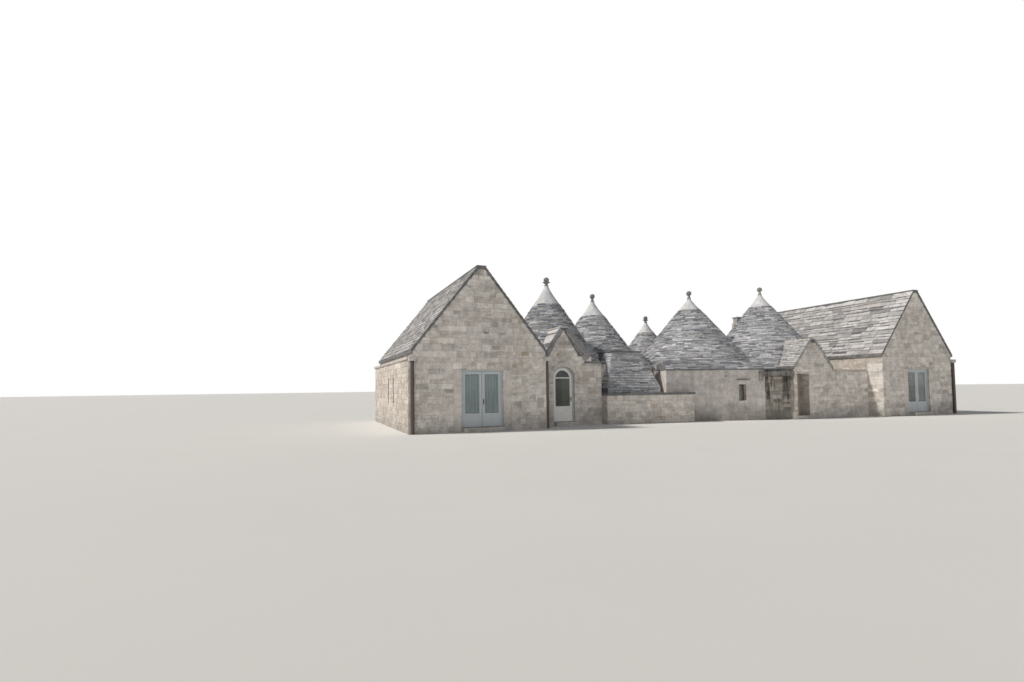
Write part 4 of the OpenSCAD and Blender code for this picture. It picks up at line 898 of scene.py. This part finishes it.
def porches():
    mason = Mason(21)
    lay_front(mason)
    mason.done("front_stones", WALL_STONE)
    mason = Mason(22)
    lay_arch_stones(mason)
    mason.done("arch_stones", JAMB_STONE)
    mason = Mason(23)
    # The first porch's left slope is laid nearly white: painted sunlight on the slope that faces the key
    # light.
    lay_porch_roof(mason, PORCH_1, "cone_1", left_course=0.42, left_width=0.90, left_tone=0.95)
    lay_porch_roof(mason, PORCH_2, "cone_4", left_course=0.105, left_width=0.30, left_tone=0.62)
    lay_porch_verges(mason)
    mason.done("porch_slabs", ROOF_STONE)


# Walls behind and beside the cones
def rear_walls():
    back = wing_reach(EAST_X, WING_DEPTH)
    mason = Mason(31)
    mason.face(site(FRONT_RIGHT, ROOM_1_BACK, 0), WEST, UP, FRONT_RIGHT, FRONT_TOP, **WALL)
    mason.face(site(FRONT_RIGHT, ROOM_2_BACK, 0), SOUTH, UP, ROOM_2_BACK - ROOM_1_BACK, FRONT_TOP, **WALL)
    mason.face(site(ROOM_2_RIGHT, ROOM_2_BACK, 0), WEST, UP, ROOM_2_RIGHT - FRONT_RIGHT, FRONT_TOP, **WALL)
    rear_right = REAR_X + REAR_WIDTH
    mason.face(wing(REAR_X, WING_DEPTH + REAR_DEPTH, 0), -WING_IN, UP, REAR_DEPTH, WING_TOP, **WALL)
    mason.face(wing(rear_right, WING_DEPTH + REAR_DEPTH, 0), -WING_ALONG, UP, REAR_WIDTH, WING_TOP, **WALL)
    mason.face(wing(rear_right, WING_DEPTH, 0), WING_IN, UP, REAR_DEPTH, WING_TOP, **WALL)
    mason.face(wing(back, WING_DEPTH, 0), -WING_ALONG, UP, back - rear_right, WING_TOP, **WALL)
    mason.trim(Vector((0, cad_high.y - 0.001, 0)), NORTH)
    mason.done("rear_stones", WALL_STONE)


def stained_bay():
    end = wing_reach(PORCH_2["x0"], BAY_BACK)
    edge = 0.13
    mason = Mason(32)
    mason.face(wing(WHITE_LENGTH, BAY_BACK, 0), WING_ALONG, UP, edge, BAY_HEAD,
               course=0.20, width=edge * 2, proud=0.014, inset=0.004)
    mason.done("bay_edge_stones", WHITE_WALL)
    mason = Mason(33)
    mason.face(wing(WHITE_LENGTH + edge, BAY_BACK, 0), WING_ALONG, UP, end - WHITE_LENGTH - edge, BAY_HEAD,
               course=0.17, width=0.27, proud=0.012, inset=0.004, split=0.2)
    mason.done("bay_stones", STAINED)


def window_gap(v0, v1):
    inside = crosses(v0, v1, WINDOW_SILL, WINDOW_SILL + WINDOW_HEIGHT)
    return [(WINDOW_X, WINDOW_X + WINDOW_WIDTH)] if inside else []


def white_wall_stones():
    """Rough courses that show through the limewash."""
    mason = Mason(38)
    mason.face(wing(0, 0, 0), WING_ALONG, UP, WHITE_LENGTH, WING_TOP - 0.03,
               course=0.15, width=0.34, proud=0.012, gaps=window_gap, split=0.1, inset=0.007)
    mason.done("white_wall_stones", WHITE_WALL)


def dark_plug():
    """A small dark stone let into the white wall under the eaves."""
    mason = Mason(37)
    mason.stone(wing(2.62, 0, 1.89), WING_ALONG, UP, (0.10, 0.09), 0.018, inset=0.018, look=(0.0, -1.0))
    mason.done("white_wall_plug", STAINED)


def skirt():
    """Courses of the straight roof skirt over the white wall, in line with the cone behind it."""
    _, _, base, radius, top, _ = CONES["cone_3"]
    rise, out, lift = 0.35, 0.06, 0.05
    run = rise * radius / (top - base)
    up = (WING_IN * run + UP * rise).normalized()
    mason = Mason(34)
    # Its slabs are laid darker than the cone's, as painted shade against the extra light its flatter slope
    # catches.
    mason.face(wing(0, -out, WING_TOP + lift), WING_ALONG, up, WHITE_LENGTH, math.hypot(run, rise),
               course=SLAB_COURSE, width=SLAB_WIDTH, proud=0.018, lap=SLAB_LAP, inset=0.004, depth=0.06,
               looks=lambda: mason.pick(0.21, 0.05, 0.30))
    mason.done("skirt_slabs", CONE_STONE)


def oven_slabs():
    """Coursed slabs on the wall and the sloping sides of the oven."""
    tall = math.hypot(OVEN_DRAW, OVEN_TOP - OVEN_WALL)
    lean, stand = OVEN_DRAW / tall, (OVEN_TOP - OVEN_WALL) / tall
    width, depth = OVEN_RIGHT - OVEN_LEFT, ROOM_2_FRONT - OVEN_FRONT
    mason = Mason(35)
    # Its slabs are laid paler than the cones', as painted light where the cone beside it shades it.
    thin = dict(course=SLAB_COURSE, width=0.28, proud=0.016, lap=SLAB_LAP, inset=0.004, depth=0.05,
                looks=lambda: mason.pick(0.22, 0.04, 0.66))
    mason.face(site(OVEN_LEFT, OVEN_FRONT, 0), EAST, UP, width, OVEN_WALL, **thin)
    mason.face(site(OVEN_RIGHT, OVEN_FRONT, 0), NORTH, UP, depth, OVEN_WALL, **thin)
    mason.face(site(OVEN_LEFT, OVEN_FRONT, OVEN_WALL), EAST, NORTH * lean + UP * stand, 0, tall - 0.01,
               span=lambda v: (lean * v, width - lean * v), **thin)
    mason.face(site(OVEN_RIGHT, OVEN_FRONT, OVEN_WALL), NORTH, WEST * lean + UP * stand, 0, tall - 0.01,
               span=lambda v: (lean * v, depth), **thin)
    mason.face(site(OVEN_LEFT, ROOM_2_FRONT, OVEN_WALL), SOUTH, EAST * lean + UP * stand, 0, tall - 0.01,
               span=lambda v: (0.0, depth - lean * v), **thin)
    mason.done("oven_slabs", CONE_STONE)


def courtyard_stones():
    """Both faces of the courtyard wall and its rounded end."""
    corner = site(FRONT_RIGHT, PORCH_1["front"] + YARD_LAP - YARD_THICK / math.cos(YARD_TURN), 0)
    straight = YARD_LENGTH - YARD_THICK / 2
    course = 0.16
    mason = Mason(36)
    stones = dict(course=course, width=0.28, proud=0.012, inset=0.004, split=0.15)
    mason.face(corner, YARD_ALONG, UP, straight, YARD_HEIGHT, **stones)
    back = corner + YARD_ALONG * straight + YARD_IN * YARD_THICK
    mason.face(back, -YARD_ALONG, UP, straight, YARD_HEIGHT, **stones)
    end = corner + YARD_ALONG * straight + YARD_IN * (YARD_THICK / 2)
    rows, end_stones = round(YARD_HEIGHT / course), 4
    for row in range(rows):
        high = YARD_HEIGHT / rows
        for k in range(end_stones):
            turn = -YARD_TURN + math.pi * (k - (end_stones - 1) / 2) / end_stones
            flat = Vector((math.cos(turn), math.sin(turn), 0))
            mason.stone(end + flat * (YARD_THICK / 2 - 0.01) + UP * high * (row + 0.5), UP.cross(flat), UP,
                        (0.17, high - 0.004), 0.012)
    mason.done("courtyard_stones", WALL_STONE)


# Door fittings, curtains and the small window's frame. Each curtain hangs just behind its pane
CLOTH, BEHIND_PANE, FOLD_DEPTH = 0.0015, 0.003, 0.010
HANDLE_EDGE, HANDLE_HEIGHT = 0.05, 1.05
WINDOW_BAR, BAR_FRONT, BAR_BACK = 0.035, 0.225, 0.258


def box_between(bm, low, high, along=EAST, into=NORTH):
    """A box from low to high, measured along, into and up from the world's origin."""
    middle, size = (low + high) / 2, high - low
    place = Matrix((along * size.x, into * size.y, UP * size.z)).transposed().to_4x4()
    place.translation = along * middle.x + into * middle.y + UP * middle.z
    bmesh.ops.create_cube(bm, size=1.0, matrix=place)


def curtain(name, low, high, look, body, folds, along=EAST, into=NORTH):
    """A thin cloth that hangs in soft folds between two corners, measured along, into and up."""
    size = high - low
    swing = size.y / 2 - CLOTH
    bm = bmesh.new()
    bmesh.ops.create_grid(bm, x_segments=folds * 8, y_segments=1, size=0.5)
    points = sorted({round(v.co.x, 5) for v in bm.verts})
    wave = [swing * math.sin((x + 0.5) * folds * 2 * math.pi) for x in points]
    for v in bm.verts:
        across = low.x + (v.co.x + 0.5) * size.x
        deep = low.y + size.y / 2 + wave[points.index(round(v.co.x, 5))]
        v.co = along * across + into * deep + UP * (low.z + (v.co.y + 0.5) * size.z)
    bmesh.ops.solidify(bm, geom=bm.faces[:], thickness=CLOTH)
    piece = new_piece(name, bm, look, body)


def hang_curtains():
    for side in ("left", "right"):
        low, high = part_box("terrace_glass_" + side)
        near = high.y + BEHIND_PANE
        curtain("terrace_curtain_" + side, Vector((low.x, near, low.z)),
                Vector((high.x, near + FOLD_DEPTH, high.z)), NET_CURTAIN, "terrace_door_" + side, 5)
    low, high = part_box("arched_glass")
    near = high.y + BEHIND_PANE
    curtain("arched_curtain", Vector(((low.x + high.x) / 2 - 0.04, near, low.z)),
            Vector((high.x, near + FOLD_DEPTH, ARCH_SPRING)), OLIVE_CURTAIN, "arched_door", 4)
    start = wing(0, 0, 0)
    across, deep = start.dot(WING_ALONG) + WINDOW_X, start.dot(WING_IN) + WINDOW_BACK + 0.03
    free = 0.002
    curtain("window_curtain", Vector((across + free, deep, WINDOW_SILL + free)),
            Vector((across + WINDOW_WIDTH - free, deep + 0.012, WINDOW_SILL + WINDOW_HEIGHT - free)),
            PAINTED_LIGHT_BEIGE_CURTAIN, "masonry", 3, WING_ALONG, WING_IN)


def rod(bm, x, y, z, radius, length, axis):
    """A round bar along the world's X or Y, with its middle at the point."""
    place = Matrix.Translation((x, y, z)) @ Matrix.Rotation(math.pi / 2, 4, "Y" if axis == "X" else "X")
    bmesh.ops.create_cone(bm, cap_ends=True, segments=16, radius1=radius, radius2=radius, depth=length,
                          matrix=place)


def fit_handles():
    """A lever handle on the arched door and on the right leaf of the terrace door."""
    for leaf, body, side in (("arched_leaf", "arched_door", 1),
                             ("terrace_leaf_right", "terrace_door_right", -1)):
        low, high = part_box(leaf)
        x = high.x - HANDLE_EDGE if side > 0 else low.x + HANDLE_EDGE
        bm = bmesh.new()
        box_between(bm, Vector((x - 0.018, low.y - 0.005, 0.93)), Vector((x + 0.018, low.y + 0.004, 1.13)))
        rod(bm, x, low.y - 0.022, HANDLE_HEIGHT, 0.008, 0.040, "Y")
        rod(bm, x - side * 0.045, low.y - 0.040, HANDLE_HEIGHT, 0.007, 0.105, "X")
        new_piece(leaf + "_handle", bm, HINGE_IRON, body)


def fit_window_frame():
    """Brown wooden frame in front of the small window's pane."""
    corner = wing(0, 0, 0)
    start = Vector((corner.dot(WING_ALONG), corner.dot(WING_IN), 0))
    t0, t1 = WINDOW_X, WINDOW_X + WINDOW_WIDTH
    z0, z1 = WINDOW_SILL, WINDOW_SILL + WINDOW_HEIGHT
    bar = WINDOW_BAR
    bm = bmesh.new()
    for a, b, c, d in ((t0, t0 + bar, z0, z1), (t1 - bar, t1, z0, z1), (t0 + bar, t1 - bar, z0, z0 + bar),
                       (t0 + bar, t1 - bar, z1 - bar, z1)):
        box_between(bm, start + Vector((a, BAR_FRONT, c)), start + Vector((b, BAR_BACK, d)), WING_ALONG,
                    WING_IN)
    new_piece("window_frame", bm, WINDOW_WOOD)


# Stage and light: the direction each lamp shines from, its strength, its width in degrees and its colour
WORLD_LIGHT = 0.09
KEY_FROM, KEY_ENERGY, KEY_ANGLE, KEY_TINT = (-0.68, 0.17, 0.71), 2.5, 5, (1.0, 0.96, 0.90)
FILL_FROM, FILL_ENERGY, FILL_ANGLE, FILL_TINT = (-0.40, -0.92, -0.04), 1.12, 60, (0.97, 0.985, 1.0)
# Camera, as in the photo: its eye, the shares of its level direction, its tilt and its lens
EYE, EAST_SHARE, NORTH_SHARE = (-16.289, -21.726, 1.501), 0.3684, 0.9297
PITCH, ROLL = math.radians(2.584), math.radians(-0.747)
LENS, LENS_SHIFT = 18.62, 0.0226


def studio():
    world = bpy.data.worlds.new("studio")
    bpy.context.scene.world = world
    world.use_nodes = True
    tree = world.node_tree
    background = next(n for n in tree.nodes if n.type == "BACKGROUND")
    path = add(tree, "LightPath").outputs
    seen = maths(tree, "ADD", maths(tree, "ADD", path["Is Camera Ray"], path["Is Glossy Ray"]),
                 path["Is Transmission Ray"], True)
    tree.links.new(mix_colour(tree, seen, (0.84, 0.92, 1), (1, 1, 1)), background.inputs["Color"])
    tree.links.new(ramp(tree, seen, 0.0, 1.0, WORLD_LIGHT, 1.0), background.inputs["Strength"])

    look, tree, shader = new_material("studio floor")
    cloud = noise(tree, object_place(tree), 0.4)
    tree.links.new(mix_colour(tree, cloud, (0.86, 0.85, 0.83), (0.90, 0.89, 0.87)),
                   shader.inputs["Base Color"])
    shader.inputs["Roughness"].default_value = 0.9
    bm = bmesh.new()
    bmesh.ops.create_grid(bm, x_segments=1, y_segments=1, size=400)
    mesh_object("studio_floor", bm, look)


def sun(name, direction, energy, angle, colour):
    data = bpy.data.lights.new(name, "SUN")
    data.energy = energy
    data.angle = math.radians(angle)
    data.color = colour
    lamp = placed(name, data)
    lamp.rotation_mode = "QUATERNION"
    lamp.rotation_quaternion = Vector(direction).to_track_quat("Z", "Y")


def photo_camera():
    data = bpy.data.cameras.new("photo_view")
    data.sensor_width = 36
    data.lens = LENS
    data.shift_y = LENS_SHIFT
    data.clip_end = 1500
    camera = placed("photo_view", data)
    level = math.cos(PITCH)
    look = Vector((EAST_SHARE * level, NORTH_SHARE * level, math.sin(PITCH))).normalized()
    right = look.cross(UP).normalized()
    view = Matrix((right, right.cross(look), -look)).transposed().to_4x4()
    camera.matrix_world = Matrix.Translation(EYE) @ view @ Matrix.Rotation(ROLL, 4, "Z")
    bpy.context.scene.camera = camera
    bpy.context.scene.view_settings.view_transform = "Standard"


dress_nodes()
cone_slabs()
lamie()
porches()
rear_walls()
white_wall_stones()
stained_bay()
dark_plug()
skirt()
oven_slabs()
courtyard_stones()
fit_handles()
fit_window_frame()
hang_curtains()
studio()
sun("key_light", KEY_FROM, KEY_ENERGY, KEY_ANGLE, KEY_TINT)
sun("fill_light", FILL_FROM, FILL_ENERGY, FILL_ANGLE, FILL_TINT)
photo_camera()
